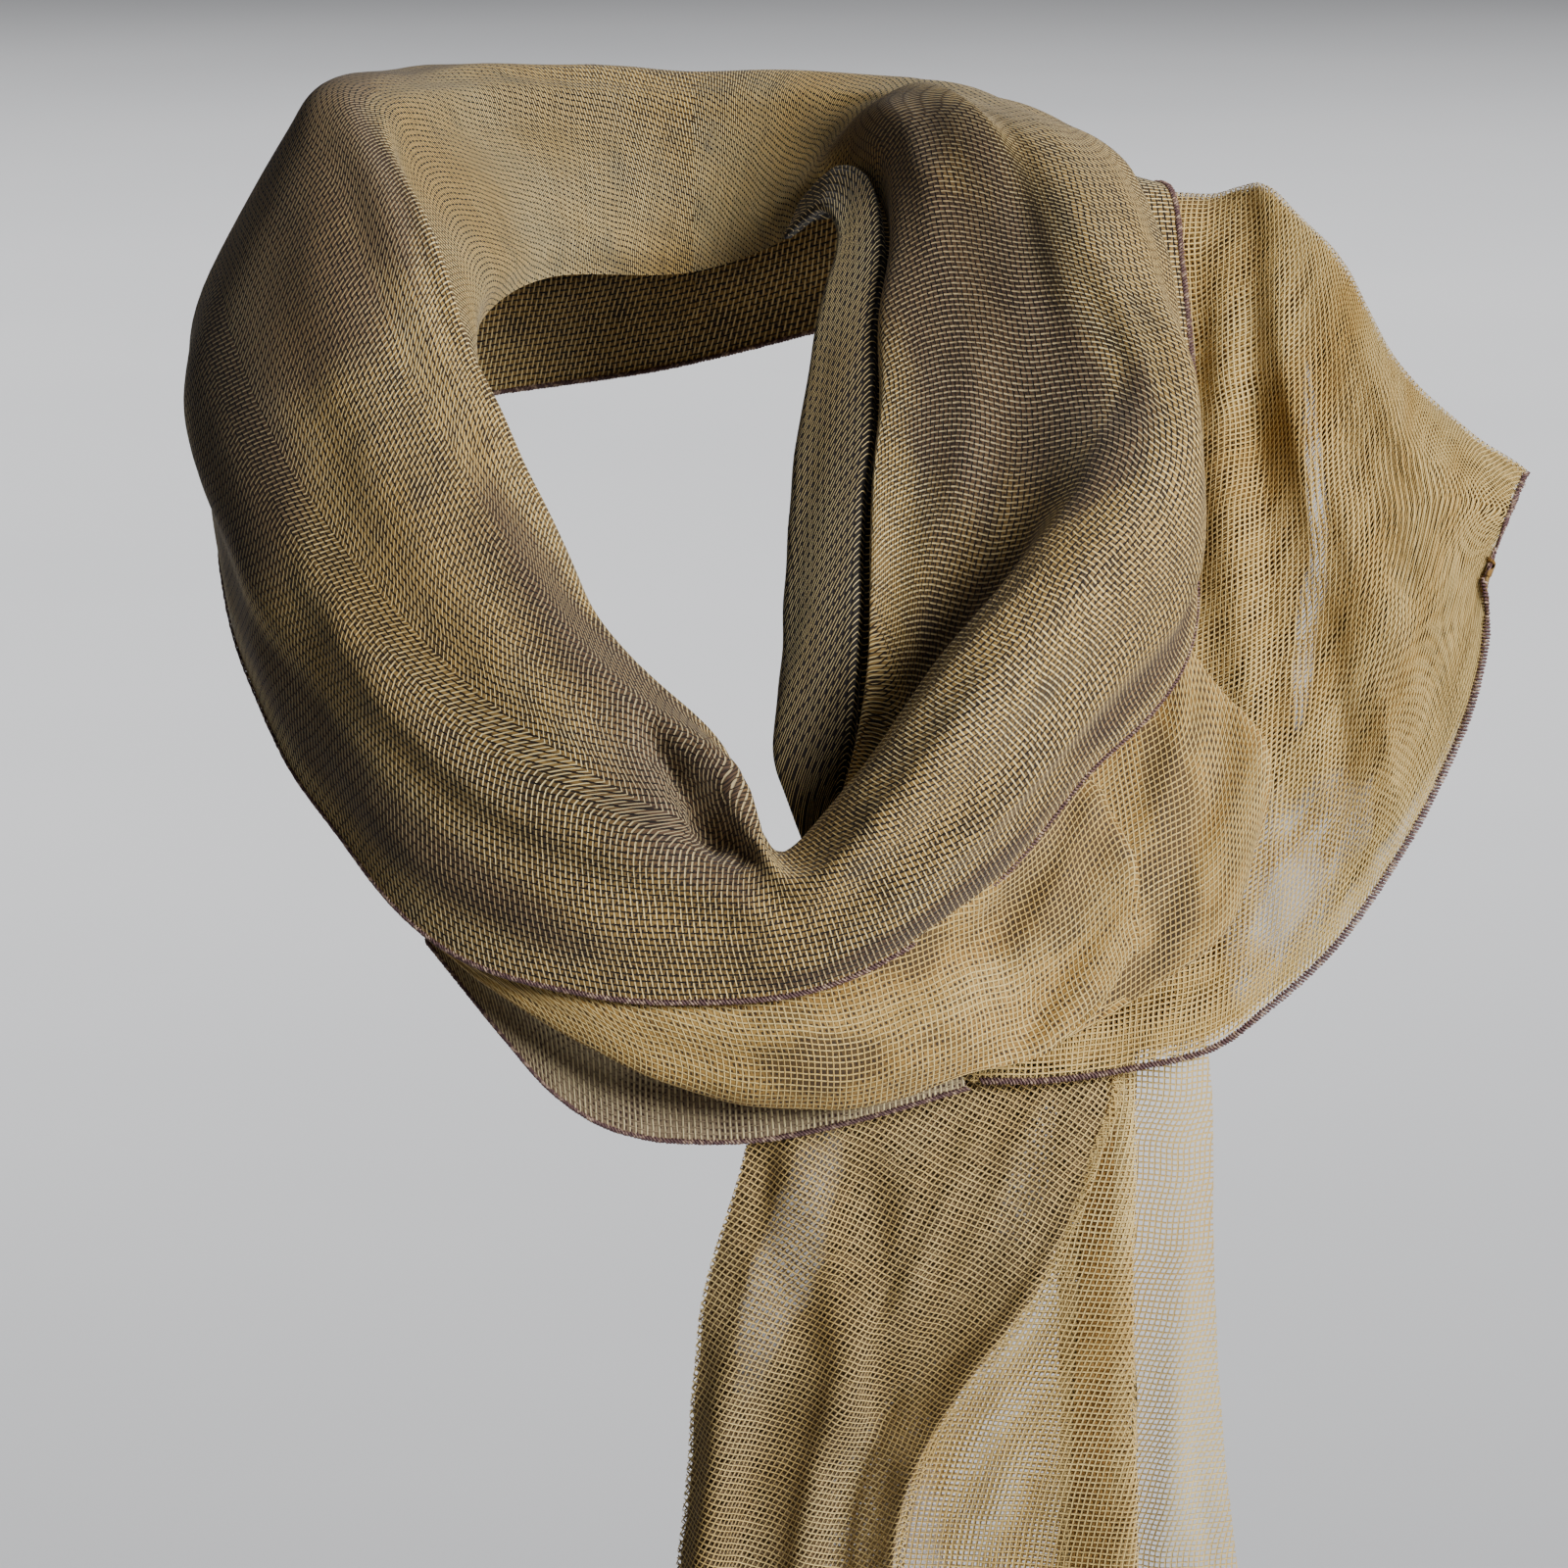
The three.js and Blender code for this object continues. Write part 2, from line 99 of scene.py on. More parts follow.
SKY_COLOUR = (0.80, 0.82, 0.86, 1)
SKY_STRENGTH = 0.07
CLEAR_LAYERS = 24
world = bpy.data.worlds.new("sky")
bpy.context.scene.world = world
world.use_nodes = True
sky = world.node_tree.nodes["Background"]
sky.inputs["Color"].default_value = SKY_COLOUR
sky.inputs["Strength"].default_value = SKY_STRENGTH
bpy.context.scene.cycles.transparent_max_bounces = CLEAR_LAYERS

# %% [markdown]
# Cloth lies in smooth curves between a few places that hold it. So each stretch is a short table of
# sections in millimetres, with smooth curves drawn through them, first across each section and then
# along the cloth. A curve goes through its points and doesn't overshoot where they lie close together.

# %% Smooth curves through many points at once
BAND_STEPS = 3
KNOT_POWER = 0.25
SAME_PLACE = 1e-4
NO_LENGTH = 1e-9


def smooth_path(points, per_span, closed=False):
    """Curves along the first axis of an array of points, each sampled per_span times a span."""
    count = len(points)
    spans = count if closed else count - 1
    samples = []
    for i in range(spans):
        here = points[i]
        there = points[(i + 1) % count]
        before = points[i - 1] if closed or i > 0 else 2 * here - there
        after = points[(i + 2) % count] if closed or i + 2 < count else 2 * there - here
        knots = [np.sum((b - a) ** 2, axis=-1, keepdims=True) ** KNOT_POWER
                 for a, b in ((before, here), (here, there), (there, after))]
        middle = np.where(knots[1] < SAME_PLACE, 1.0, knots[1])
        first = np.where(knots[0] < SAME_PLACE, middle, knots[0])
        last = np.where(knots[2] < SAME_PLACE, middle, knots[2])
        leave = (here - before) / first - (there - before) / (first + middle) + (there - here) / middle
        arrive = (there - here) / middle - (after - here) / (middle + last) + (after - there) / last
        leave = leave * middle
        arrive = arrive * middle
        for step in range(per_span):
            t = step / per_span
            cubic = 2 * here - 2 * there + leave + arrive
            square = -3 * here + 3 * there - 2 * leave - arrive
            samples.append(here + t * leave + t * t * square + t ** 3 * cubic)
    samples.append(points[0] if closed else points[-1])
    return np.array(samples)


def grid_through(sections, per_row, per_span, closed=False):
    """grid[along][across] through sections, each a list of points."""
    across = smooth_path(np.swapaxes(np.array(sections, float), 0, 1), per_span)
    return smooth_path(np.swapaxes(across, 0, 1), per_row, closed)


def facing(grid, closed=False):
    """The direction in which a grid's surface faces at each point."""
    rows = np.concatenate([grid[-2:-1], grid, grid[1:2]] if closed else [grid[:1], grid, grid[-1:]])
    columns = np.concatenate([grid[:, :1], grid, grid[:, -1:]], 1)
    normal = np.cross(rows[2:] - rows[:-2], columns[:, 2:] - columns[:, :-2])
    return normal / np.maximum(lengths_of(normal), NO_LENGTH)


def lengths_of(vectors):
    return np.linalg.norm(vectors, axis=-1, keepdims=True)


def unit(vector):
    return vector / np.linalg.norm(vector)


def outward(point):
    """Away from the neck's axis, level."""
    return unit(np.array([point[0], point[1], 0.0]))


def rows_with(columns, table):
    return [dict(zip(columns, row)) for row in table]


def carried(table, column, place):
    """A smooth value at a place along the band, between a table's rows."""
    last = len(table) - 1
    keys = [row["band"] for row in table]
    values = [np.array(row[column], float) for row in table]
    i = next((n for n in range(last) if place <= keys[n + 1]), last - 1)
    run = keys[i + 1] - keys[i]
    s = (place - keys[i]) / run
    r = 1 - s

    def slope(n):
        low = max(n - 1, 0)
        high = min(n + 1, last)
        return (values[high] - values[low]) / (keys[high] - keys[low])

    bend = s * r * r * run * slope(i) - s * s * r * run * slope(i + 1)
    return r * r * (1 + 2 * s) * values[i] + s * s * (1 + 2 * r) * values[i + 1] + bend


def rows_of(table, columns):
    """The table worked out at every third of a row of the band, as in the solid model."""
    first = round(table[0]["band"] * BAND_STEPS)
    last = round(table[-1]["band"] * BAND_STEPS)
    rows = []
    for n in range(first, last + 1):
        row = {"n": n}
        for column in columns:
            row[column] = carried(table, column, min(n / BAND_STEPS, table[-1]["band"]))
        rows.append(row)
    return rows


# %% [markdown]
# The wound band is the cowl itself. One row of the table is one section, from the middle of the back
# round the viewer's left, the chest and the right shoulder to the back again. hem is the overlocked
# edge, crest the top of the roll and fold the place where the cloth turns down inside.

# %% The wound band
COLUMNS = ("hem", "crest", "fold", "belly", "sag", "gutter")
BAND = rows_with(COLUMNS, (
    ((0, 130, 30), (0, 92, 127), (0, 66, 84), 18, -4, 0),
    ((-90, 104, 18), (-72, 78, 131), (-44, 52, 84), 20, -4, 0),
    ((-136, 52, 2), (-103, 38, 127), (-64, 26, 74), 28, -4, 0),
    ((-142, 5, -8), (-90, 3, 100), (-64, 0, 48), 36, -4, 0),
    ((-132, -38, -38), (-77, -22, 70), (-57, -24, 22), 33, -4, 0),
    ((-109, -72, -72), (-62, -44, 42), (-50, -50, -6), 29, -4, 0),
    ((-72, -103, -106), (-42, -65, 10), (-37, -74, -36), 24, -4, 0),
    ((-28, -119, -117), (-20, -86, -20), (-18, -86, -62), 18, -4, 0),
    ((4, -123, -118), (10, -101, -46), (6, -90, -80), 12, -3, 0),
    ((32, -124, -115), (27, -114, -75), (26, -96, -94), 8, -1, 0),
    ((58, -121, -106), (52, -119, -50), (48, -90, -52), 9, 24, 0),
    ((88, -110, -88), (80, -114, -14), (53, -70, -6), 11, 38, 0),
    ((118, -92, -57), (104, -102, 8), (54, -52, 25), 12, 32, 0),
    ((144, -68, -32), (126, -86, 30), (57, -38, 46), 10, 16, 0),
    ((151, -44, 2), (136, -60, 54), (58, -15, 70), 8, 2, 4),
    ((151, -20, 40), (124, -32, 86), (61, 10, 94), 9, -6, 10),
    ((148, 5, 78), (110, 2, 114), (57, 35, 111), 10, -14, 16),
    ((144, 28, 101), (92, 38, 123), (47, 52, 112), 6, -12, 12),
    ((116, 84, 72), (62, 76, 127), (30, 60, 96), 10, -6, 0),
))
BROW = 11
BROW_DROP = 0.6 * BROW
BAND_TUCK = 16
LAID = 1.7
UP = np.array([0.0, 0.0, 1.0])
DENT_AT = np.array([12.0, -116.0, -66.0])
DENT_WIDE = 10
DENT_DEEP = 9


def band_section(row):
    hem, crest, fold = (np.array(row[name], float) for name in ("hem", "crest", "fold"))
    out = outward((hem + crest) / 2)
    belly = (hem + crest) / 2 + row["belly"] * out
    gutter = (hem + belly) / 2 - row["gutter"] * out
    dip = (crest + fold) / 2 - row["sag"] * UP
    brow = crest + BROW * out + BROW_DROP * unit(belly - crest)
    nape = crest - BROW_DROP * out + BROW_DROP * unit(dip - crest)
    return [hem, gutter, belly, brow, crest, nape, dip, fold, fold - BAND_TUCK * UP]


def pressed(grid):
    near = np.exp(-np.sum((grid - DENT_AT) ** 2, -1, keepdims=True) / (2 * DENT_WIDE ** 2))
    level = grid * np.array([1.0, 1.0, 0.0])
    return grid - DENT_DEEP * near * level / lengths_of(level)


band_sections = [band_section(row) for row in BAND]
plain_band = pressed(grid_through(band_sections, BAND_STEPS, 2, closed=True))
band_inside = plain_band - LAID * facing(plain_band, closed=True)
band_neck_side = plain_band + LAID * facing(plain_band, closed=True)
band_grid = pressed(grid_through(band_sections, per_row=24, per_span=14, closed=True))
print("the band's grid:", band_grid.shape)

# %% [markdown]
# The dark inner turn rises from the notch along the neck. It lies against the band's inner tuck, so its
# sections start from the band's own points, moved out by the thickness of the cloth.

# %% The dark inner turn
STRAND = rows_with(("band", "turn", "deep"), (
    (9.67, (38, -90, -88), 4), (10, (31, -91, -69), 6), (11, (25, -85, -50), 10), (12, (27, -71, -28), 12),
    (13, (29, -52, 2), 12), (14, (32, -32, 32), 12), (15, (38, -8, 64), 12), (16, (44, 14, 86), 12),
    (17, (38, 32, 92), 10), (17.67, (28, 44, 82), 6),
))
STRAND_STEP = 3
STRAND_HIDDEN = np.array([9.0, 6.0, 0.0])
STRAND_BEHIND = np.array([0.3, 0.9, -0.2])
TUCK_COLUMN = 16


def strand_section(row):
    tuck = band_neck_side[row["n"]][TUCK_COLUMN]
    near_fold = band_neck_side[row["n"]][TUCK_COLUMN - 1]
    leaving = near_fold + STRAND_STEP * unit(row["turn"] - near_fold)
    behind = row["turn"] + row["deep"] * STRAND_BEHIND
    return [tuck + STRAND_HIDDEN, tuck, leaving, row["turn"], behind]


strand_sections = [strand_section(row) for row in rows_of(STRAND, ("turn", "deep"))]
strand_grid = grid_through(strand_sections, per_row=6, per_span=12)

# %% [markdown]
# Under the hem of the band hang two gold folds, and behind them a greyer layer with its own overlocked
# edge. A fold turns back under itself on a small half circle at its right-hand edge.

# %% The gold folds and the layer behind them
FOLD_COLUMNS = ("band", "low", "belly", "behind")
SWAG = rows_with(FOLD_COLUMNS, (
    (5.67, (-84, -91, -99), 0, 0), (6.33, (-56, -106, -119), 0, 0), (7, (-22, -118, -136), 2, 0),
    (8, (8, -122, -146), 4, 0), (9, (36, -124, -149), 6, 0), (9.67, (62, -122, -147), 6, 0),
    (10.33, (84, -118, -141), 3, 0), (11, (104, -111, -136), -3, 0), (11.67, (121, -104, -124), 2, 0),
    (12, (129, -97, -110), 8, 0),
))
SECOND_FOLD = rows_with(FOLD_COLUMNS, (
    (11.67, (94, -102, -139), -1, 16), (12.33, (122, -93.5, -130), -2.5, 14),
    (12.67, (143, -86, -117), 2, 9), (13, (158, -79, -103), 7, 4), (13.33, (166, -70, -84), 12, 0),
))
UNDER = rows_with(("band", "low"), (
    (5.67, (-77, -88, -108)), (6.33, (-54, -100, -134)), (6.67, (-40, -105, -149)), (7, (-26, -108, -158)),
    (7.33, (-11, -110, -162)), (8.33, (20, -112, -162)), (9.33, (51, -110, -156)),
    (10.33, (82, -105, -148)),
))
ROLL_UNDER = 6
ROLL_SHARE = 0.25
ROLL_RISE = 0.6
TURN_RADIUS = 2.6
TURN_SWING = (0, 0, 0.3, 1, 1, 1)
TURN_BACK = np.array([-0.4, 1.0, 0.0])
SIDEWAYS = np.array([1.0, 0.0, 0.0])
HEM_CLEAR = 1
UNDER_HOLLOW = 6.5
BACKWARD = np.array([-0.4, 0.9, 0.0])


def swag_section(row):
    top, under, hem = (band_inside[row["n"]][column] + row["behind"] * BACKWARD for column in (2, 1, 0))
    low = row["low"]
    out = outward((hem + low) / 2)
    roll = min(ROLL_UNDER, ROLL_SHARE * np.linalg.norm(low - hem))
    curl = low - roll * out + ROLL_RISE * roll * UP
    return [top, under, hem - HEM_CLEAR * out, (hem + low) / 2 + row["belly"] * out, low, curl]


def turned_back(section, steps=3):
    copies = []
    for i in range(steps):
        angle = math.pi * (i + 1) / steps
        back = TURN_RADIUS * (1 - math.cos(angle)) * TURN_BACK
        swing = TURN_RADIUS * math.sin(angle) * SIDEWAYS
        copies.append([p + back + share * swing for p, share in zip(section, TURN_SWING)])
    return copies


def hanging_fold(table):
    sections = [swag_section(row) for row in rows_of(table, ("low", "belly", "behind"))]
    return sections + turned_back(sections[-1])


def under_section(row, behind_swag):
    top, under, hem = (behind_swag[column] for column in (0, 2, 4))
    inward = -outward(hem)
    middle = (hem + row["low"]) / 2 + UNDER_HOLLOW * inward
    return [top, under, hem + HEM_CLEAR * inward, middle, row["low"]]


swag_sections = hanging_fold(SWAG)
plain_swag = grid_through(swag_sections, 1, 2)
swag_inside = plain_swag + LAID * facing(plain_swag)
under_rows = rows_of(UNDER, ("low",))
swag_start = round(SWAG[0]["band"] * BAND_STEPS)
under_sections = [under_section(row, swag_inside[row["n"] - swag_start]) for row in under_rows]
swag_grid = grid_through(swag_sections, per_row=10, per_span=24)
fold_grid = grid_through(hanging_fold(SECOND_FOLD), per_row=12, per_span=20)
under_grid = grid_through(under_sections, per_row=12, per_span=24)

# %% [markdown]
# The end thrown over the shoulder starts inside the band, lies over the top of the shoulder and ends in
# a point. Its sections run from a short drop behind the shoulder, over the top and down the front to
# the overlocked edge.

# %% The end over the shoulder
VEIL = (
    ((156, 30, 98), (106, -92, -149), 9, 1), ((165, 26, 101), (130, -86, -147), 11, 1),
    ((172, 21, 101), (154, -78, -143), 12, 0.9), ((180, 15, 96), (171, -70, -133), 14, 0.7),
    ((190, 8, 86), (194, -64, -112), 14, 0.4), ((202, 1, 68), (213, -56, -85), 12, 0.2),
    ((214, -4, 49), (231, -46, -49), 7, 0.1), ((231, -10, 32), (237, -38, -24), 2, 0.1),
    ((250, -14, 18), (236, -32, -10), 0, 0.1),
)
VEIL_LAID = (17.33, 16.67, 15.67, 14.67)
VEIL_FREE = ((138, -46, -14), (82, -97, -148))
BACK_DROP = np.array([-6.0, 46.0, -52.0])
VEIL_START_CLEAR = np.array([-1, 1.5, 0])
VEIL_PUFF = np.array([0.4, -0.9, 0.0])


def veil_section(top, low, belly, over):
    top = np.array(top, float)
    low = np.array(low, float)
    face = [top + share * (low - top) + belly * math.sin(math.pi * share) * VEIL_PUFF
            for share in (0.25, 0.5, 0.75)]
    return [top + over * BACK_DROP, top, *face, low]


veil_start = [band_inside[round(row * BAND_STEPS)][1] + VEIL_START_CLEAR for row in VEIL_LAID]
veil_start += [np.array(point, float) for point in VEIL_FREE]
veil_sections = [veil_start] + [veil_section(*row) for row in VEIL]
veil_grid = grid_through(veil_sections, per_row=24, per_span=24)

# %% [markdown]
# The tail hangs straight down in two halves. The front one ends in a ridge that crosses over from the
# right, and the other carries an upright pleat where three layers lie on each other.

# %% The hanging tail
TAIL_FRONT = (
    (-84, -83, 0, 34, 58, 0.5), (-106, -87, 6, 33, 86, 0.5), (-128, -95, 18, 29, 114, 1),
    (-150, -108.3, 27, 21, 128, 1), (-172, -110, 15, 15, 121, 3), (-205, -112, 4, 5, 106, 6),
    (-235, -112, 0, 1, 84, 7), (-265, -109, 0, -1, 68, 8), (-300, -106, 0, -4, 62, 8),
    (-370, -103, 0, -7, 60, 9), (-440, -101, 0, -9, 58, 9), (-510, -100, 0, -10, 58, 9),
)
TAIL_BACK = (
    (-128, -66, 70, 122, 152), (-160, -74, 70, 121, 155), (-205, -94, 56, 120, 155),
    (-260, -104, 32, 121, 158), (-300, -101.6, 24, 122, 163), (-370, -98.8, 22, 124, 168),
    (-440, -96.7, 21, 125, 171), (-510, -95.7, 20, 126, 173),
)
FRONT_WAVE = (
    (0, -0.5), (0.12, 0.4), (0.35, -0.3), (0.55, 0.4), (0.75, -0.4), (0.95, 1), (1, 0.6), (0.97, -0.2),
)
BEFORE_PLEAT = ((0, 0), (0.3, -2), (0.65, 1))
IN_PLEAT = ((0.4, 2), (0.5, 1.5), (0, 1), (-0.5, 0.6), (-0.4, 0), (0.3, -0.5))
AFTER_PLEAT = ((0.7, 1), (1, -3))
PLEAT_WIDE = 22
PLEAT_RISE = 4


def tail_front_section(z, y, slant, left, ridge, wave):
    return [(left + (ridge - left) * share, y + slant * share - wave * forward, z)
            for share, forward in FRONT_WAVE]


def tail_back_section(z, y, left, pleat, right):
    before = [(left + (pleat - left) * share, y - forward, z) for share, forward in BEFORE_PLEAT]
    folded = [(pleat + PLEAT_WIDE * share, y - PLEAT_RISE * layer, z) for share, layer in IN_PLEAT]
    after = [(pleat + (right - pleat) * share, y - forward, z) for share, forward in AFTER_PLEAT]
    return before + folded + after


tail_front_grid = grid_through([tail_front_section(*row) for row in TAIL_FRONT], per_row=20, per_span=18)
tail_back_grid = grid_through([tail_back_section(*row) for row in TAIL_BACK], per_row=30, per_span=14)

# %% [markdown]
# Real gauze is never as smooth as a curve through ten points. Soft ridges and troughs run along the
# folds, and the whole surface is a little uneven. A crease is a line between two places on the sheet,
# in percent of its length and width, then how wide and high it is in millimetres. Below 0 is a trough.

# %% Creases and unevenness
CREASE_STEPS = 16
CREASE_ENDS = (0.02, 0.98)
CREASE_FADE = 0.6
FAR_AWAY = 1e9
WAVES = 8
WAVE_SIZES = (0.6, 1.6)
WAVE_SUM = 3
RIDGES = 7
RIDGE_TURNS = (2, 8)
RIDGE_DRIFT = (-3, 4)
RIDGE_SUM = 2.6


def creased(grid, normals, creases):
    """The grid moved along its normals by creases."""
    last_row = grid.shape[0] - 1
    last_column = grid.shape[1] - 1
    lift = np.zeros(grid.shape[:2])
    for *ends, wide, high in creases:
        from_along, from_across, to_along, to_across = (percent / 100 for percent in ends)
        line = np.array([
            grid[round((from_along + (to_along - from_along) * s) * last_row) % (last_row + 1),
                 round((from_across + (to_across - from_across) * s) * last_column)]
            for s in np.linspace(0, 1, CREASE_STEPS)])
        best = np.full(grid.shape[:2], FAR_AWAY)
        fade = np.zeros(grid.shape[:2])
        for i in range(CREASE_STEPS - 1):
            a = line[i]
            run = line[i + 1] - a
            t = np.clip(((grid - a) @ run) / max(run @ run, NO_LENGTH), 0, 1)
            away = np.linalg.norm(grid - (a + t[..., None] * run), axis=-1)
            nearer = away < best
            best = np.where(nearer, away, best)
            share = np.clip((i + t) / (CREASE_STEPS - 1), *CREASE_ENDS)
            fade = np.where(nearer, np.sin(math.pi * share) ** CREASE_FADE, fade)
        lift += high * fade * np.exp(-(best / wide) ** 2)
    return grid + lift[..., None] * normals


def uneven(grid, normals, high, size, seed):
    """Slow waves in eight directions, so that no part of the sheet is quite smooth."""
    chance = np.random.default_rng(seed)
    lift = np.zeros(grid.shape[:2])
    for _ in range(WAVES):
        way = chance.normal(size=3)
        way = way / np.linalg.norm(way) * 2 * math.pi / (size * chance.uniform(*WAVE_SIZES))
        lift += np.sin(grid @ way + chance.uniform(0, 2 * math.pi))
    return grid + (high * lift / WAVE_SUM)[..., None] * normals


def ridged(grid, normals, high, seed):
    """Soft ridges that run along a sheet and wander slowly across it."""
    chance = np.random.default_rng(seed)
    along = np.linspace(0, 1, grid.shape[0])[:, None]
    across = np.linspace(0, 1, grid.shape[1])[None, :]
    lift = np.zeros(grid.shape[:2])
    for _ in range(RIDGES):
        turns = chance.uniform(*RIDGE_TURNS) * across + chance.integers(*RIDGE_DRIFT) * along
        lift += np.sin(2 * math.pi * (turns + chance.uniform(0, 1)))
    return grid + (high * lift / RIDGE_SUM)[..., None] * normals


# %% [markdown]
# A sheet starts as a flat grid primitive, which already has square faces and a clean map. Its points
# are then moved to their places. The map is rewritten in metres of real cloth, across from the hem and
# along. Both are measured on the sheet itself, so the threads keep their spacing where the sheet fans
# out and lie slanted there, as loose gauze does. On the cowl the slant dies away towards the back,
# where its two ends meet. A second map keeps the place as shares of the whole sheet, from 0 to 1.

# %% A sheet from a grid
MEETING = 0.16
SEAM_GAP = 1e-5


def cloth_lengths(grid, along_column, level, hem_last, closed):
    """Metres of cloth across from the hem and along from the row at the share level, at every point."""
    rows = len(grid)
    steps = np.linalg.norm(np.diff(grid, axis=1), axis=-1) * MM
    across = np.concatenate([np.zeros((rows, 1)), np.cumsum(steps, axis=1)], axis=1)
    if hem_last:
        across = across - across[:, -1:]
    runs = np.linalg.norm(np.diff(grid, axis=0), axis=-1) * MM
    along = np.concatenate([np.zeros((1, grid.shape[1])), np.cumsum(runs, axis=0)])
    along = along - along[round(level * (rows - 1))]
    if closed:
        share = np.linspace(0, 1, rows)[:, None]
        near = np.clip(np.minimum(share, 1 - share) / MEETING, 0, 1)
        own = near * near * (3 - 2 * near)
        along = own * along + (1 - own) * along[:, along_column:along_column + 1]
    return across, along


def sheet_mesh(name, grid, along_column, level, hem_last=False, closed=False, first=(0, 0), last=(1, 1)):
    """A new object on the grid. first and last are the shares of the whole sheet that the grid covers."""
    rows, columns = grid.shape[:2]
    bpy.ops.object.select_all(action="DESELECT")
    bpy.ops.mesh.primitive_grid_add(x_subdivisions=columns - 1, y_subdivisions=rows - 1,
                                    size=1, calc_uvs=True)
    sheet = bpy.context.object
    sheet.name = name
    points = grid.reshape(-1, 3) * MM
    sheet.data.vertices.foreach_set("co", points.ravel())
    across, along = cloth_lengths(grid, along_column, level, hem_last, closed)
    loops = np.empty(len(sheet.data.loops), dtype=np.int32)
    sheet.data.loops.foreach_get("vertex_index", loops)
    uv = np.stack([across.ravel()[loops], along.ravel()[loops]], axis=-1)
    sheet.data.uv_layers[0].name = "cloth"
    sheet.data.uv_layers[0].data.foreach_set("uv", uv.ravel())
    share_across = first[1] + (last[1] - first[1]) * (loops % columns) / (columns - 1)
    share_along = first[0] + (last[0] - first[0]) * (loops // columns) / (rows - 1)
    shares = np.stack([share_across, share_along], axis=-1)
    sheet.data.uv_layers.new(name="share")
    sheet.data.uv_layers["share"].data.foreach_set("uv", shares.ravel())
    sheet.data.update()
    bpy.ops.object.shade_smooth()
    if closed:
        bpy.ops.object.mode_set(mode="EDIT")
        bpy.ops.mesh.select_all(action="SELECT")
        bpy.ops.mesh.remove_doubles(threshold=SEAM_GAP)
        bpy.ops.object.mode_set(mode="OBJECT")
    area = sum(face.area for face in sheet.data.polygons)
    length = float(np.ptp(along[:, along_column]))
    size = (area / length, length)
    print(name, "is", [round(value, 3) for value in size], "m,", len(sheet.data.polygons), "faces")
    return sheet, size


# %% [markdown]
# The cowl: long soft ridges that follow the winding, deeper ones where the cloth is drawn together at
# the notch, and short creases at the back where the turns cross.

# %% Cowl
COWL_CREASES = [
    (14, 36, 40, 30, 9, 3.2), (12, 24, 42, 18, 8, -2.8), (16, 12, 44, 8, 8, 2.4),
    (18, 46, 38, 44, 7, -2.6), (20, 52, 38, 56, 6, 1.8), (22, 29, 36, 22, 5, 1.8),
    (44, 10, 60, 12, 8, 2.2), (48, 24, 66, 28, 6, -2), (50, 17, 62, 19, 5, 1.6),
    (52, 40, 68, 42, 6, 2), (56, 66, 69, 70, 7, -2.4), (58, 80, 74, 78, 6, 2),
    (62, 56, 72, 60, 6, 2), (72, 30, 93, 34, 8, -2.6), (74, 52, 94, 50, 8, 2.6),
    (73, 70, 92, 72, 6, -2.2), (76, 82, 92, 84, 5, 1.8), (95, 20, 4, 24, 8, 1),
    (92, 14, 99, 34, 8, 2.6), (0, 16, 12, 22, 9, -2.8), (1, 34, 13, 42, 8, 2.6),
    (2, 50, 12, 54, 7, -2.2), (94, 42, 99.5, 30, 7, -2.4), (46, 44, 49, 60, 4, -1.6),
    (38.5, 36, 42.4, 28.5, 3.5, -8), (40.6, 28.5, 44.6, 31.5, 3.5, -6.5), (40.5, 39, 44.5, 35, 4.5, 4),
    (36, 23, 47, 24, 6, 2.6), (34, 40, 40, 42, 5, -2), (62, 36, 72, 40, 5, -1.8),
    (66, 20, 74, 24, 5, 1.8),
]
COWL_BELLY = 28
band_normals = facing(band_grid, closed=True)
cowl_grid = creased(band_grid, band_normals, COWL_CREASES)
cowl_grid = uneven(cowl_grid, band_normals, high=0.6, size=40, seed=3)
cowl_grid = ridged(cowl_grid, band_normals, high=0.7, seed=4)
cowl_grid[-1] = cowl_grid[0]
cowl, cowl_size = sheet_mesh("cowl", cowl_grid, COWL_BELLY, level=0.46, closed=True)

# %% [markdown]
# The other stretches are made in the same way, each with its own few creases. The end over the shoulder
# is drawn towards the cowl, so its creases fan out from there.

# %% The other stretches
WAVE_LENGTH = 34
RIDGE_SHARE = 0.7


def stretch(name, grid, creases, along_column, high, seed, level, hem_last):
    """A sheet with its creases, waves and ridges: the object, its flat size and its final grid."""
    normals = facing(grid)
    shaped = uneven(creased(grid, normals, creases), normals, high, WAVE_LENGTH, seed)
    shaped = ridged(shaped, normals, RIDGE_SHARE * high, seed + 1)
    return (*sheet_mesh(name, shaped, along_column, level, hem_last), shaped)


STRAND_CREASES = [(10, 45, 90, 40, 3, 0.8), (20, 70, 95, 62, 3, -0.7)]
SWAG_CREASES = [
    (10, 62, 60, 58, 6, 2), (30, 72, 78, 64, 5, -1.8), (45, 52, 80, 50, 5, 1.8),
    (55, 82, 86, 62, 5, 2.4), (60, 36, 84, 44, 5, -2.8), (72, 60, 90, 42, 5, -2.8),
    (74, 86, 85, 72, 4, 1.8), (70, 72, 84, 62, 3.5, 1.2),
]
FOLD_CREASES = [
    (20, 80, 70, 45, 5, 2), (35, 85, 80, 55, 4, -2), (30, 62, 60, 40, 4, -1.4),
    (93, 30, 94, 80, 4, 1.6),
]
UNDER_CREASES = [(10, 80, 90, 75, 5, 1.2), (30, 90, 70, 92, 4, -0.8)]
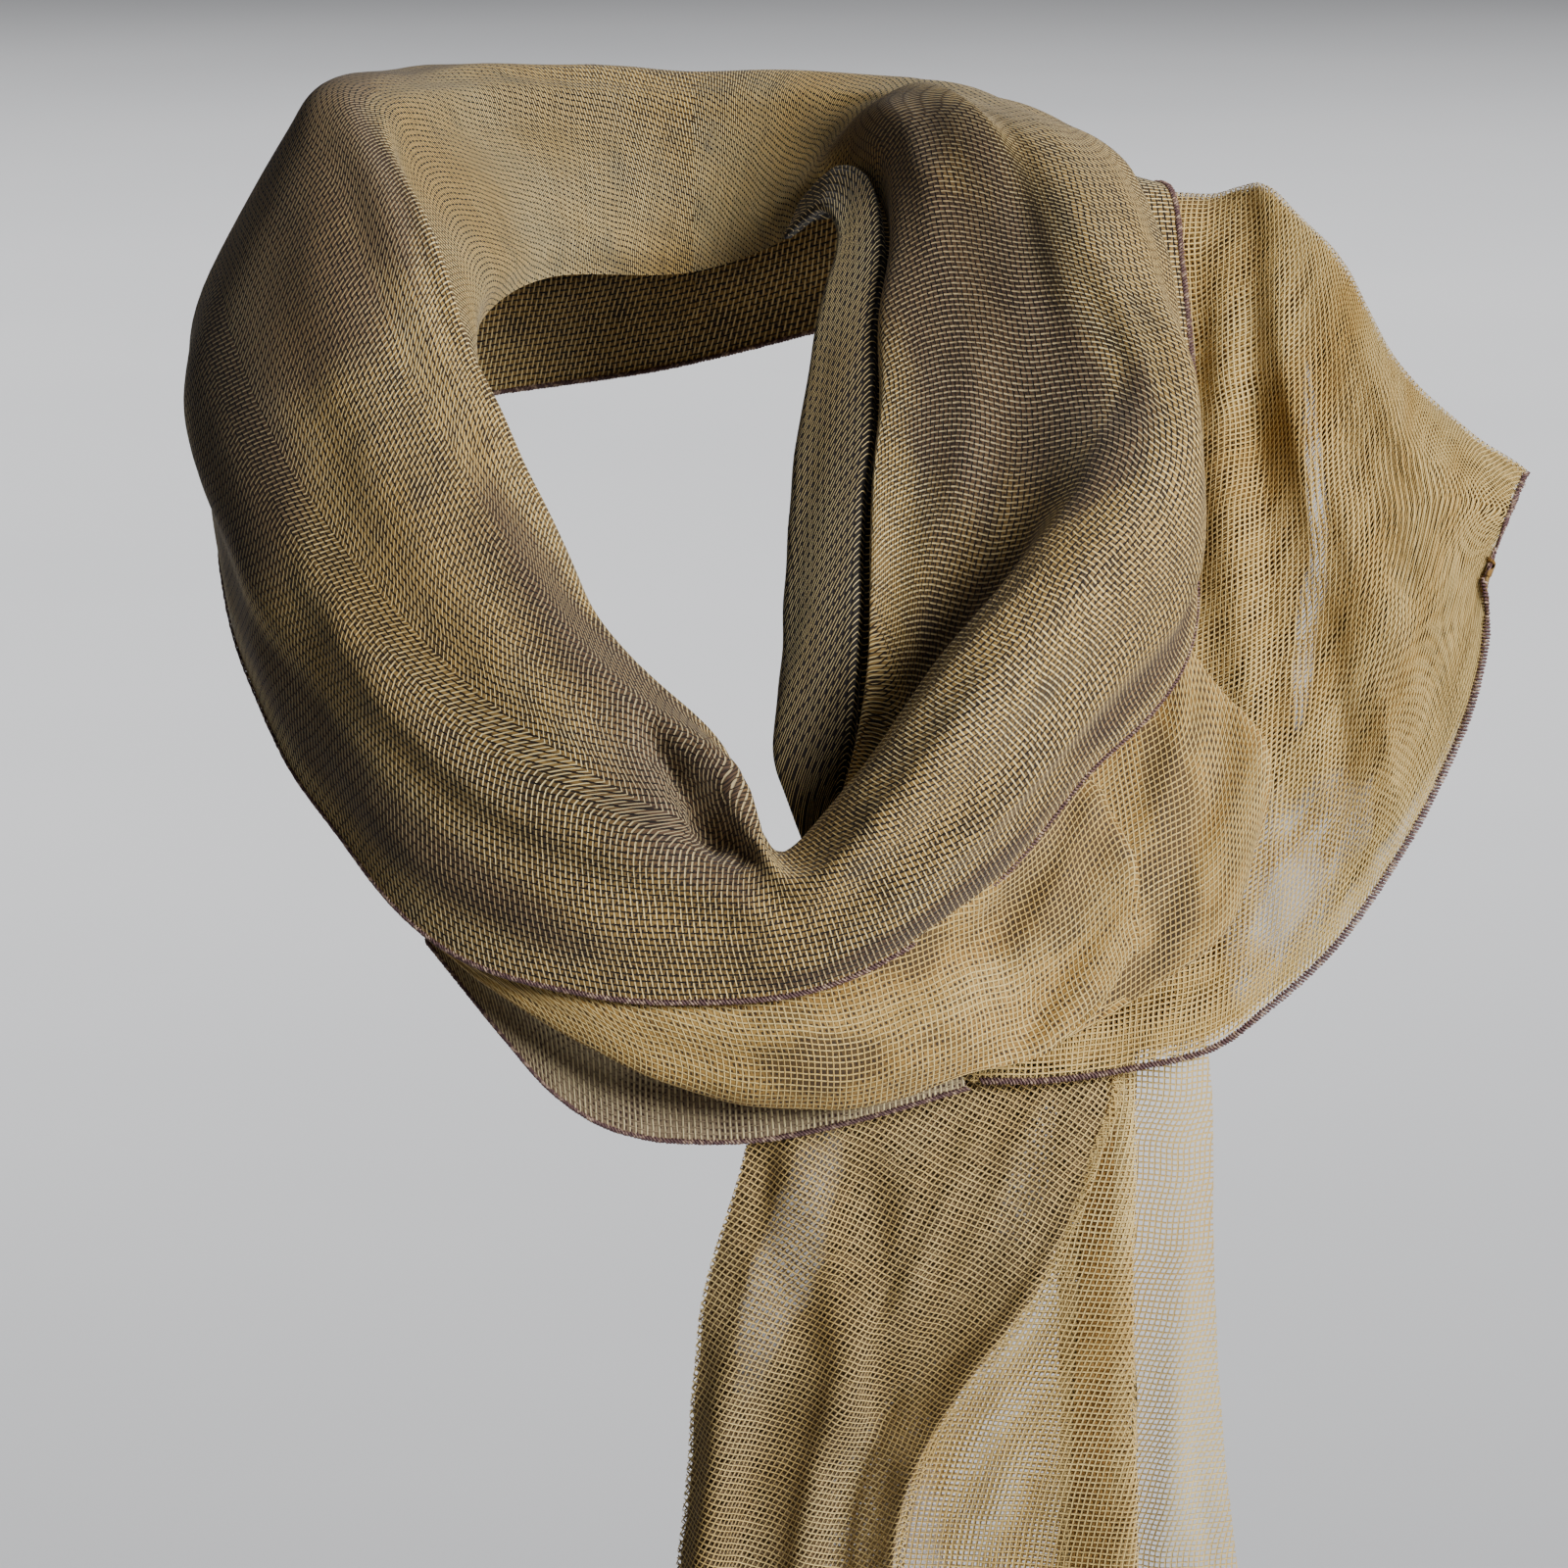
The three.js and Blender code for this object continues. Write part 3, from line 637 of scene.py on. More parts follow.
VEIL_CREASES = [
    (10, 30, 34, 98, 7, 2.6), (16, 28, 46, 96, 6, -2.4), (22, 24, 58, 84, 7, 2.6),
    (34, 24, 66, 70, 6, -2.2), (44, 22, 78, 80, 7, 2.2), (5, 50, 20, 98, 5, 2),
    (20, 60, 30, 90, 5, -2), (60, 30, 90, 60, 6, -1.6), (12, 5, 30, 20, 7, 1.8),
    (48, 45, 56, 95, 5, 2.2), (66, 55, 74, 96, 5, 1.8), (28, 30, 40, 70, 3.5, 1.8),
    (38, 30, 52, 62, 3.5, -1.8), (54, 26, 72, 50, 3.5, 1.6), (36, 74, 44, 96, 4, 1.8),
    (60, 70, 64, 94, 3.5, -1.6),
]
TAIL_FRONT_CREASES = [
    (30, 10, 60, 48, 7, 3.2), (34, 26, 62, 60, 6, -3), (32, 2, 50, 26, 5, -2.2),
    (44, 14, 98, 16, 5, 1.8), (50, 36, 98, 34, 5, -2.2), (22, 60, 60, 52, 5, 2),
    (24, 76, 56, 62, 4, -1.8), (56, 60, 98, 62, 4, 1.8), (26, 8, 52, 10, 4, -1.2),
    (55, 24, 98, 26, 4, -1.4), (28, 44, 52, 42, 4, -2),
]
TAIL_BACK_CREASES = [(20, 94, 62, 84, 5, 1.8), (30, 90, 75, 96, 4, -1.4), (30, 20, 95, 22, 5, 1.2)]
SHEETS = {"cowl": (cowl, cowl_size, cowl_grid)}
for name, grid, creases, along_column, high, seed, level, hem_last in (
    ("inner_turn", strand_grid, STRAND_CREASES, 24, 0.3, 5, 0.5, False),
    ("gold_fold", swag_grid, SWAG_CREASES, 60, 0.35, 7, 0.5, True),
    ("second_gold_fold", fold_grid, FOLD_CREASES, 50, 0.3, 9, 0.4, True),
    ("grey_layer", under_grid, UNDER_CREASES, 60, 0.3, 11, 0.5, True),
    ("shoulder_end", veil_grid, VEIL_CREASES, 72, 0.8, 13, 0.4, True),
    ("tail_left", tail_front_grid, TAIL_FRONT_CREASES, 60, 0.5, 15, 0.4, False),
    ("tail_right", tail_back_grid, TAIL_BACK_CREASES, 70, 0.5, 17, 0.4, False),
):
    SHEETS[name] = stretch(name, grid, creases, along_column, high, seed, level, hem_last)

# %% [markdown]
# An overlocked edge is a row of small thread loops round the raw edge. One loop is modelled as a thin
# ring and copied along the edge, a little slanted, as the machine lays them. The hem of the end over
# the shoulder starts where the end comes out from the cowl, and turns the corner at the point.

# %% Overlocked edges
STITCH_PITCH = 1.05
STITCH_RADIUS = 1.0
STITCH_THREAD = 0.38
STITCH_SLANT = math.radians(48)
STITCH_FLAT = 0.6
STITCH_INWARD = 0.5
STITCH_CHANGE = 0.12
STITCH_SEED = 21
INSIDE = -3
VEIL_HEM_START = 3
VEIL_HEM_END = 24


def one_loop():
    """The points and faces of one loop of thread."""
    bpy.ops.object.select_all(action="DESELECT")
    bpy.ops.mesh.primitive_torus_add(major_segments=10, minor_segments=4,
                                     major_radius=STITCH_RADIUS, minor_radius=STITCH_THREAD)
    ring = bpy.context.object
    points = np.array([vertex.co[:] for vertex in ring.data.vertices])
    faces = np.array([face.vertices[:] for face in ring.data.polygons])
    bpy.data.objects.remove(ring)
    return points, faces


LOOP_POINTS, LOOP_FACES = one_loop()


def overlocked(name, edge, inner, closed=False):
    """Loops along an edge. inner holds points just inside it."""
    lengths = np.linalg.norm(np.diff(edge, axis=0), axis=1)
    travelled = np.concatenate([[0.0], np.cumsum(lengths)])
    count = int(travelled[-1] / STITCH_PITCH)
    places = (np.arange(count) + (0 if closed else 0.5)) * travelled[-1] / count
    chance = np.random.default_rng(STITCH_SEED)
    all_points = []
    for place in places:
        i = min(int(np.searchsorted(travelled, place, side="right")) - 1, len(edge) - 2)
        share = (place - travelled[i]) / max(lengths[i], 1e-6)
        centre = edge[i] * (1 - share) + edge[i + 1] * share
        run = unit(edge[i + 1] - edge[i])
        inward = unit(inner[i] - edge[i])
        face = unit(np.cross(run, inward))
        slanted = unit(math.cos(STITCH_SLANT) * run + math.sin(STITCH_SLANT) * inward)
        side = unit(np.cross(slanted, face))
        size = 1 + chance.uniform(-STITCH_CHANGE, STITCH_CHANGE)
        turned = LOOP_POINTS[:, :1] * side * size + LOOP_POINTS[:, 1:2] * face * STITCH_FLAT * size
        turned = turned + LOOP_POINTS[:, 2:] * slanted
        all_points.append(centre + STITCH_INWARD * inward + turned)
    faces = [LOOP_FACES + n * len(LOOP_POINTS) for n in range(count)]
    mesh = bpy.data.meshes.new(name)
    mesh.from_pydata((np.concatenate(all_points) * MM).tolist(), [], np.concatenate(faces).tolist())
    mesh.polygons.foreach_set("use_smooth", [True] * len(mesh.polygons))
    hem = bpy.data.objects.new(name, mesh)
    bpy.context.collection.objects.link(hem)
    print(name, "has", count, "loops")
    return hem


veil_at = SHEETS["shoulder_end"][2]
under_at = SHEETS["grey_layer"][2]
cowl_hem = overlocked("cowl_hem", cowl_grid[:, 0], cowl_grid[:, 2], closed=True)
veil_edge = np.concatenate([veil_at[VEIL_HEM_START:, -1], veil_at[-1, -2:VEIL_HEM_END:-1]])
veil_inner = np.concatenate([veil_at[VEIL_HEM_START:, INSIDE], veil_at[INSIDE, -2:VEIL_HEM_END:-1]])
veil_hem = overlocked("shoulder_end_hem", veil_edge, veil_inner)
under_hem = overlocked("grey_layer_hem", under_at[:, -1], under_at[:, INSIDE])

# %% [markdown]
# Materials are written as sums on sockets. One small class stands for a socket and adds a Math node for
# each operator, so that the recipe of a weave reads like arithmetic.

# %% Shader arithmetic
def counting(operation):
    return lambda wire, other: wire.paint.math(operation, wire, other)


class Wire:
    def __init__(self, paint, socket):
        self.paint = paint
        self.socket = socket

    def __rsub__(self, other):
        return self.paint.math("SUBTRACT", other, self)

    __add__ = __radd__ = counting("ADD")
    __mul__ = __rmul__ = counting("MULTIPLY")
    __sub__ = counting("SUBTRACT")
    __truediv__ = counting("DIVIDE")


class Paint:
    def __init__(self, name):
        self.material = bpy.data.materials.new(name)
        self.material.use_nodes = True
        self.tree = self.material.node_tree
        self.tree.nodes.clear()

    def node(self, kind, settings=None, inputs=None, output=0):
        """A node of any kind: first its settings, then its sockets' values or links by name or number."""
        made = self.tree.nodes.new(kind)
        for name, value in (settings or {}).items():
            setattr(made, name, value)
        for name, value in (inputs or {}).items():
            if isinstance(value, Wire):
                self.tree.links.new(value.socket, made.inputs[name])
            else:
                made.inputs[name].default_value = value
        return Wire(self, made.outputs[output]) if made.outputs else None

    def math(self, operation, *values, clamp=False):
        settings = {"operation": operation, "use_clamp": clamp}
        return self.node("ShaderNodeMath", settings, dict(enumerate(values)))

    def clamped(self, first, second):
        """A product kept between 0 and 1."""
        return self.math("MULTIPLY", first, second, clamp=True)

    def mix(self, factor, first, second):
        sockets = {0: factor, 6: first, 7: second}
        return self.node("ShaderNodeMix", {"data_type": "RGBA"}, sockets, output=2)

    def noise(self, vector, scale, detail=2.0, rough=0.5):
        sockets = {"Vector": vector, "Scale": scale, "Detail": detail, "Roughness": rough}
        return self.node("ShaderNodeTexNoise", {"noise_dimensions": "2D"}, sockets)

    def flat(self, u, v):
        return self.node("ShaderNodeCombineXYZ", None, {"X": u, "Y": v})


def shade(red, green, blue):
    """A screen colour from 0 to 255 as the linear colour that a shader wants."""
    return (*((value / 255 / 12.92 if value <= 10 else ((value / 255 + 0.055) / 1.055) ** 2.4)
              for value in (red, green, blue)), 1.0)


# %% [markdown]
# Plain weave: threads one way pass over and under the threads the other way, by turns. Each thread is a
# rounded ridge that rises where it passes over. Comparing the two heights says which thread is seen, and
# where neither reaches is a hole. Thickness and spacing wander a little, as in hand-spun linen.

# %% Plain weave
DRIFT_FINE = 55.0
DRIFT_APART = (3.7, 1.9)
SLUB_FINE = 90.0
SLUB_ROWS = (0.731, 0.617)
SLUB_RANGE = 0.5
SLUB_LEAST = 0.75
OVER_AND_UNDER = 0.45
EDGE_SHARP = 6.0


def plain_weave(paint, u, v, pitch, thick, wander, turn=0.0):
    """Cover, 1 where a lengthwise thread is on top, height and tone. The pitch is in millimetres."""
    cos_turn = math.cos(math.radians(turn))
    sin_turn = math.sin(math.radians(turn))
    across = u * cos_turn + v * sin_turn
    along = v * cos_turn - u * sin_turn
    place = paint.flat(across, along)
    drift = paint.noise(place, DRIFT_FINE, 3.0, 0.6) - 0.5
    a = across / (pitch[0] * MM) + drift * wander
    other_place = paint.flat(across + DRIFT_APART[0], along - DRIFT_APART[1])
    drift_along = paint.noise(other_place, DRIFT_FINE, 3.0, 0.6) - 0.5
    b = along / (pitch[1] * MM) + drift_along * wander
    row_a = paint.math("FLOOR", a)
    row_b = paint.math("FLOOR", b)
    off_a = paint.math("ABSOLUTE", (a - row_a) * 2 - 1)
    off_b = paint.math("ABSOLUTE", (b - row_b) * 2 - 1)
    slub_a = paint.noise(paint.flat(row_a * SLUB_ROWS[0], along * SLUB_FINE), 1.0)
    slub_a = slub_a * SLUB_RANGE + SLUB_LEAST
    slub_b = paint.noise(paint.flat(across * SLUB_FINE, row_b * SLUB_ROWS[1]), 1.0)
    slub_b = slub_b * SLUB_RANGE + SLUB_LEAST
    reach_a = off_a / (slub_a * thick[0])
    reach_b = off_b / (slub_b * thick[1])
    round_a = 1 - reach_a * reach_a
    round_b = 1 - reach_b * reach_b
    sign_a = 1 - paint.math("FRACT", row_a * 0.5) * 4
    sign_b = 1 - paint.math("FRACT", row_b * 0.5) * 4
    swing_a = paint.math("COSINE", (b - 0.5) * math.pi) * sign_a
    swing_b = paint.math("COSINE", (a - 0.5) * math.pi) * sign_b
    height_a = round_a * (swing_a * OVER_AND_UNDER + 1)
    height_b = round_b * (1 - swing_b * OVER_AND_UNDER)
    top = paint.math("MAXIMUM", height_a, height_b)
    lengthwise = paint.math("GREATER_THAN", height_a, height_b)
    cover = paint.clamped(top, EDGE_SHARP)
    tone = (slub_a + slub_b) * 0.5
    return cover, lengthwise, paint.math("MAXIMUM", top, 0.0), tone


# %% [markdown]
# Where the scarf lies in many turns, deeper threads show between the upper ones and only small pits
# stay dark. The deeper threads are painted on the one sheet in darker shades, which is painted shade
# under the upper threads, and the dark pits are painted shade too. The deeper weave lies at its own
# angle, which gives the watery bands of layered gauze.

# %% Layered gauze
SPOT_NOISE = (9.0, 16.0)
SPOT_WANDER = 1.3
SPOT_EDGE = 1.5
SPOT_ON_TOP = 0.60
SPOT_BELOW = 0.82
PIT_SHOWS = 0.7
BUMP_STRENGTH = 0.5
BUMP_DEEP = 0.0006
LOWER_PITCH = (1.06, 0.94)
LOWER_THICK = (0.58, 0.62)


def on_cloth(paint):
    where = paint.node("ShaderNodeUVMap", {"uv_map": "cloth"})
    u = paint.node("ShaderNodeSeparateXYZ", None, {0: where}, output=0)
    v = paint.node("ShaderNodeSeparateXYZ", None, {0: where}, output=1)
    return u, v


def soft_patches(paint, u, v, across, along, low, gain):
    """A slow mask from 0 to 1, in patches about 1 / across by 1 / along metres."""
    cloud = paint.noise(paint.flat(u * across, v * along), 1.0, 3.0, 0.55)
    return paint.clamped(cloud - low, gain)


def spotted(paint, spots):
    """1 in soft spots. In percent, a spot is its middle along, across and half its length and width."""
    where = paint.node("ShaderNodeUVMap", {"uv_map": "share"})
    across = paint.node("ShaderNodeSeparateXYZ", None, {0: where}, output=0)
    along = paint.node("ShaderNodeSeparateXYZ", None, {0: where}, output=1)
    place = paint.flat(across * SPOT_NOISE[0], along * SPOT_NOISE[1])
    wander = (paint.noise(place, 1.0, 3.0, 0.6) - 0.5) * SPOT_WANDER
    mask = None
    for spot in spots:
        middle_along, middle_across, half_along, half_across = (percent / 100 for percent in spot)
        off_along = (along - middle_along) / half_along
        off_across = (across - middle_across) / half_across
        inside = paint.clamped(1 - off_along * off_along - off_across * off_across + wander, SPOT_EDGE)
        mask = inside if mask is None else paint.math("MAXIMUM", mask, inside)
    return mask


def finish_cloth(paint, colour, height, alpha=1.0):
    """The linen surface itself, raised where the threads are."""
    relief = paint.node("ShaderNodeBump", None, {
        "Strength": BUMP_STRENGTH, "Distance": BUMP_DEEP, "Height": height})
    surface = paint.node("ShaderNodeBsdfPrincipled", None, {
        "Base Color": colour, "Roughness": 0.72, "Normal": relief, "Alpha": alpha,
        "Specular IOR Level": 0.3, "Sheen Weight": 0.12, "Sheen Roughness": 0.5})
    paint.node("ShaderNodeOutputMaterial", None, {"Surface": surface})


def layered_gauze(name, lengthwise, crosswise, deep, pit_shade, pitch, thick,
                  turn=9.0, lean=0.0, spots=(), tints=None):
    """Colours are (dark, pale) pairs, and the pit colour is one colour, the painted shade of the pits.
    Crosswise threads lean. Spots are darker: painted shade, tinted by tints, and on the cowl partly plum
    cloth.
    """
    paint = Paint(name)
    u, v = on_cloth(paint)
    cover, on_top, height, tone = plain_weave(paint, u, v + u * lean, pitch, thick, wander=0.6)
    lower_pitch = (pitch[0] * LOWER_PITCH[0], pitch[1] * LOWER_PITCH[1])
    lower, _, lower_height, lower_tone = plain_weave(
        paint, u, v, lower_pitch, LOWER_THICK, wander=0.9, turn=turn)
    stripe = soft_patches(paint, u, v, across=42.0, along=2.0, low=0.36, gain=3.2)
    patch = soft_patches(paint, u, v, across=15.0, along=9.0, low=0.30, gain=2.6)
    open_place = soft_patches(paint, u, v, across=70.0, along=45.0, low=0.56, gain=6.0)
    along_colour = paint.mix(stripe, lengthwise[0], lengthwise[1])
    cross_colour = paint.mix(patch, crosswise[0], crosswise[1])
    deep_colour = paint.mix(stripe, deep[0], deep[1])
    # Painted shade: where the cloth is more open, more of the dark pit colour shows among the deeper
    # threads.
    deep_colour = paint.mix(open_place * PIT_SHOWS, deep_colour, pit_shade)
    # Spots painted darker, tinted by tints: painted shade, and on the cowl partly plum cloth.
    if spots:
        dark_cloth_and_shade = spotted(paint, spots)
        cross_colour = paint.mix(dark_cloth_and_shade * SPOT_ON_TOP, cross_colour, tints[0])
        deep_colour = paint.mix(dark_cloth_and_shade * SPOT_BELOW, deep_colour, tints[1])
    thread = paint.mix(on_top, cross_colour, along_colour)
    # Painted shade: a thread darkens to the pit colour at its edges and where it dives under, and its slub
    # tone varies it.
    lit = paint.clamped(height * 0.5 + 0.55, tone * 1.1)
    thread = paint.mix(lit, pit_shade, thread)
    # Painted shade on the deeper threads in the same way.
    lower_lit = paint.clamped(lower_height * 0.6 + 0.3, lower * lower_tone)
    below = paint.mix(lower_lit, pit_shade, deep_colour)
    finish_cloth(paint, paint.mix(cover, below, thread), height)


# %% [markdown]
# The shades run from straw and gold through brown to a plum that is nearly black.

# %% Shades
STRAW = shade(255, 236, 178)
STRAW_GOLD = shade(238, 205, 132)
PALE = shade(240, 213, 145)
PALE_GOLD = shade(216, 180, 104)
GOLD = shade(188, 148, 78)
OCHRE = shade(152, 112, 50)
BRONZE = shade(118, 90, 50)
BROWN = shade(64, 48, 30)
DARK_BROWN = shade(44, 31, 21)
PLUM = shade(72, 50, 42)
NEAR_BLACK = shade(24, 17, 13)
GREY_GOLD = shade(196, 176, 138)
GREY_PLUM = shade(116, 92, 74)
DUN = shade(98, 79, 54)
PALE_DUN = shade(156, 133, 97)
DEEP_GOLD = shade(134, 106, 60)
SAND = shade(178, 142, 78)
DEEP_OCHRE = shade(134, 92, 34)

# %% [markdown]
# The layered materials differ in shade, in the spacing of their threads and in where they are darker:
# painted shade in spots, and on the cowl plum cloth as well at the notch.

# %% The layered materials
# Spots darker on the cowl: at the notch the cloth is plum and is painted darker still; elsewhere, on the
# top left and near the shoulder, they are painted shade.
COWL_PLUM_AND_SHADE_SPOTS = [
    (41, 32, 5, 12), (36, 42, 8, 10), (82, 86, 14, 10), (62, 70, 6, 10), (54, 6, 10, 5),
    (13, 44, 9, 20), (68, 10, 8, 6), (26, 10, 12, 7), (16.5, 32, 6.5, 15), (74, 76, 11, 14),
    (20, 24, 5, 10), (70, 55, 5, 9),
]
# Painted shade in the hollows of the two gold folds, tinted towards gold and brown.
FOLD_SHADE_SPOTS = [(80, 47, 9, 18), (46, 62, 10, 10), (62, 40, 6, 10)]
SECOND_FOLD_SHADE_SPOTS = [(41, 56, 6, 14), (38, 67, 6, 9), (31, 75, 9, 5)]
GOLD_WEAVE = {
    "lengthwise": (PALE_GOLD, PALE), "crosswise": (PALE_GOLD, PALE), "deep": (OCHRE, GOLD), "pit_shade": BROWN,
    "pitch": (1.8, 1.78), "thick": (0.27, 0.27), "lean": 0.12, "tints": (GOLD, BROWN),
}
layered_gauze(
    "cowl_gauze", lengthwise=(NEAR_BLACK, DARK_BROWN), crosswise=(STRAW_GOLD, STRAW),
    deep=(DEEP_GOLD, SAND), pit_shade=DARK_BROWN, pitch=(1.87, 1.73), thick=(0.31, 0.33), lean=0.27,
    spots=COWL_PLUM_AND_SHADE_SPOTS, tints=(GREY_PLUM, PLUM))
# The inner turn's deeper threads and pits are near black, which is painted shade down against the neck.
layered_gauze(
    "inner_turn_gauze", lengthwise=(NEAR_BLACK, NEAR_BLACK), crosswise=(STRAW_GOLD, STRAW),
    deep=(NEAR_BLACK, NEAR_BLACK), pit_shade=NEAR_BLACK, pitch=(3.4, 2.0), thick=(0.42, 0.19), lean=0.42)
layered_gauze("gold_gauze", **GOLD_WEAVE, turn=13.0, spots=FOLD_SHADE_SPOTS)
layered_gauze("second_gold_gauze", **GOLD_WEAVE, turn=-6.0, spots=SECOND_FOLD_SHADE_SPOTS)
layered_gauze(
    "grey_gauze", lengthwise=(GREY_PLUM, GREY_GOLD), crosswise=(GREY_GOLD, STRAW),
    deep=(GREY_PLUM, GREY_GOLD), pit_shade=PLUM, pitch=(1.9, 1.75), thick=(0.27, 0.38), turn=-8.0, lean=0.1)

# %% [markdown]
# The end and the tail hang in one to three layers, and light passes through them. Here the holes are
# real: the material is clear between its threads, and each layer of cloth is a sheet of its own. An
# inner layer is left bare in a few soft spots, where the outer one hangs alone and shines. In a few
# other spots an inner layer is painted darker, which is painted shade, and each thread is painted
# darker at its edges, which is painted shade too.

# %% Open gauze
SPOT_ON_OPEN = 0.6


def open_gauze(name, dark, pale, pitch, thick, turn, bare=(), bareness=0.62, ground=None, spots=()):
    """ground is the colour between the threads of an innermost layer; without it the holes are clear.
    Spots are painted shade, in brown.
    """
    paint = Paint(name)
    u, v = on_cloth(paint)
    cover, _, height, tone = plain_weave(paint, u, v, pitch, thick, wander=0.7, turn=turn)
    patch = soft_patches(paint, u, v, across=20.0, along=7.0, low=0.30, gain=2.6)
    thread = paint.mix(patch, dark, pale)
    # Painted shade: a thread darkens towards ochre at its edges and where it dives under, and its slub
    # tone varies it.
    lit = paint.clamped(height * 0.6 + 0.45, tone)
    thread = paint.mix(lit, OCHRE, thread)
    # Painted shade: in the spots the threads are darkened towards brown.
    if spots:
        thread = paint.mix(spotted(paint, spots) * SPOT_ON_OPEN, thread, BROWN)
    if ground:
        thread = paint.mix(cover, ground, thread)
        cover = 1.0
    if bare:
        cover = (1 - spotted(paint, bare) * bareness) * cover
    finish_cloth(paint, thread, height, cover)


END_BARE = [(45, 90, 7, 5)]
END_THIN = [(46, 88, 13, 11), (48, 48, 2.5, 13), (45.5, 64, 2.5, 8), (62, 100, 20, 6)]
# Painted shadows on the innermost layers of the end and of the left half of the tail.
END_PAINTED_SHADE = [
    (30, 70, 10, 16), (66, 62, 12, 14), (36, 28, 6, 14), (24, 94, 10, 6), (41.5, 72, 3.4, 13),
    (37, 86, 6, 6),
]
TAIL_PAINTED_SHADE = [(42, 36, 10, 12), (60, 20, 16, 14), (56, 52, 10, 10), (36, 60, 4, 8)]
LEFT_BARE = [(44, 20, 13, 7), (72, 60, 20, 10), (36, 62, 8, 5)]
RIGHT_BARE = [(66, 14, 22, 3.5), (24, 18, 5, 4)]
for name, dark, pale, pitch, thick, turn, more in (
    ("end_gauze", PALE_GOLD, PALE, (1.78, 1.74), (0.28, 0.28), 0, {}),
    ("end_second_gauze", OCHRE, PALE_GOLD, (1.7, 1.72), (0.40, 0.40), 7, {"bare": END_BARE}),
    ("end_third_gauze", BRONZE, OCHRE, (1.6, 1.65), (0.50, 0.50), -14,
     {"bare": END_THIN, "ground": BRONZE, "spots": END_PAINTED_SHADE}),
    ("tail_gauze", PALE_GOLD, PALE, (1.76, 1.72), (0.22, 0.22), 24, {}),
    ("tail_second_gauze", DUN, PALE_DUN, (1.7, 1.7), (0.34, 0.34), 40, {}),
    ("tail_third_gauze", DUN, PALE_DUN, (1.65, 1.6), (0.40, 0.40), -12,
     {"bare": LEFT_BARE, "bareness": 0.32, "ground": DUN, "spots": TAIL_PAINTED_SHADE}),
    ("right_gauze", PALE_GOLD, PALE, (1.72, 1.72), (0.34, 0.34), 0, {}),
    ("right_second_gauze", GOLD, PALE, (1.58, 1.71), (0.52, 0.50), 2, {"bare": RIGHT_BARE}),
    ("pleat_gauze", OCHRE, OCHRE, (1.6, 1.6), (0.60, 0.60), -6, {"ground": DEEP_OCHRE}),
):
    open_gauze(name, dark, pale, pitch, thick, turn, **more)
print("cloth materials:", [material.name for material in bpy.data.materials if "gauze" in material.name])

# %% [markdown]
# The overlock thread is plum with pale flecks, where the looper thread shows between the needle
# thread's loops.

# %% Overlock thread
OBJECT_PLACE = 3
THREAD_PLUM = shade(100, 74, 74)
THREAD_PALE = shade(188, 160, 138)
thread_paint = Paint("overlock_thread")
thread_place = thread_paint.node("ShaderNodeTexCoord", output=OBJECT_PLACE)
thread_fleck = thread_paint.node("ShaderNodeTexNoise", None, {
    "Vector": thread_place, "Scale": 700.0, "Detail": 2.0})
thread_fleck = thread_paint.clamped(thread_fleck - 0.50, EDGE_SHARP)
thread_colour = thread_paint.mix(thread_fleck, THREAD_PLUM, THREAD_PALE)
thread_surface = thread_paint.node("ShaderNodeBsdfPrincipled", None, {
    "Base Color": thread_colour, "Roughness": 0.7, "Specular IOR Level": 0.3})
thread_paint.node("ShaderNodeOutputMaterial", None, {"Surface": thread_surface})

# %% [markdown]
# The floor is a pale, dull grey with broad, faint clouds.

# %% Floor
floor_paint = Paint("pale_floor")
floor_place = floor_paint.node("ShaderNodeTexCoord", output=OBJECT_PLACE)
floor_clouds = floor_paint.node("ShaderNodeTexNoise", None, {
    "Vector": floor_place, "Scale": 0.8, "Detail": 3.0})
floor_colour = floor_paint.mix(floor_clouds, shade(186, 187, 190), shade(202, 202, 204))
floor_surface = floor_paint.node("ShaderNodeBsdfPrincipled", None, {
    "Base Color": floor_colour, "Roughness": 0.9})
floor_paint.node("ShaderNodeOutputMaterial", None, {"Surface": floor_surface})
floor.data.materials.append(floor_paint.material)
print("other materials:", thread_paint.material.name, floor_paint.material.name)

# %% [markdown]
# The inner layers lie a little behind the outer sheet and reach only as far as the cloth is doubled.
# Each is a copy of part of the outer grid, moved back and laid a little differently. Towards an
# overlocked edge, which holds all layers together, they come closer.

# %% Inner layers
HEM_NEAR = 0.86
HEM_REACH = 0.12
HEM_CLOSER = 0.8
LAYER_WAVES = (0.25, 22)


def inner_layer(name, grid, back, first, last, seed, hem_last):
    """The part of the grid from first to last (shares along, across), moved back by some millimetres."""
    normals = facing(grid)
    apart = np.ones(grid.shape[1])
    if hem_last:
        share = np.linspace(0, 1, grid.shape[1])
        apart = 1 - HEM_CLOSER * np.clip((share - HEM_NEAR) / HEM_REACH, 0, 1)
    moved = grid - back * apart[None, :, None] * normals
    moved = uneven(moved, normals * apart[None, :, None], *LAYER_WAVES, seed)
    rows = slice(round(first[0] * (len(grid) - 1)), round(last[0] * (len(grid) - 1)) + 1)
    columns = slice(round(first[1] * (grid.shape[1] - 1)), round(last[1] * (grid.shape[1] - 1)) + 1)
    part = moved[rows, columns]
    middle = part.shape[1] // 2
    return sheet_mesh(name, part, middle, 0.4, hem_last, first=first, last=last)


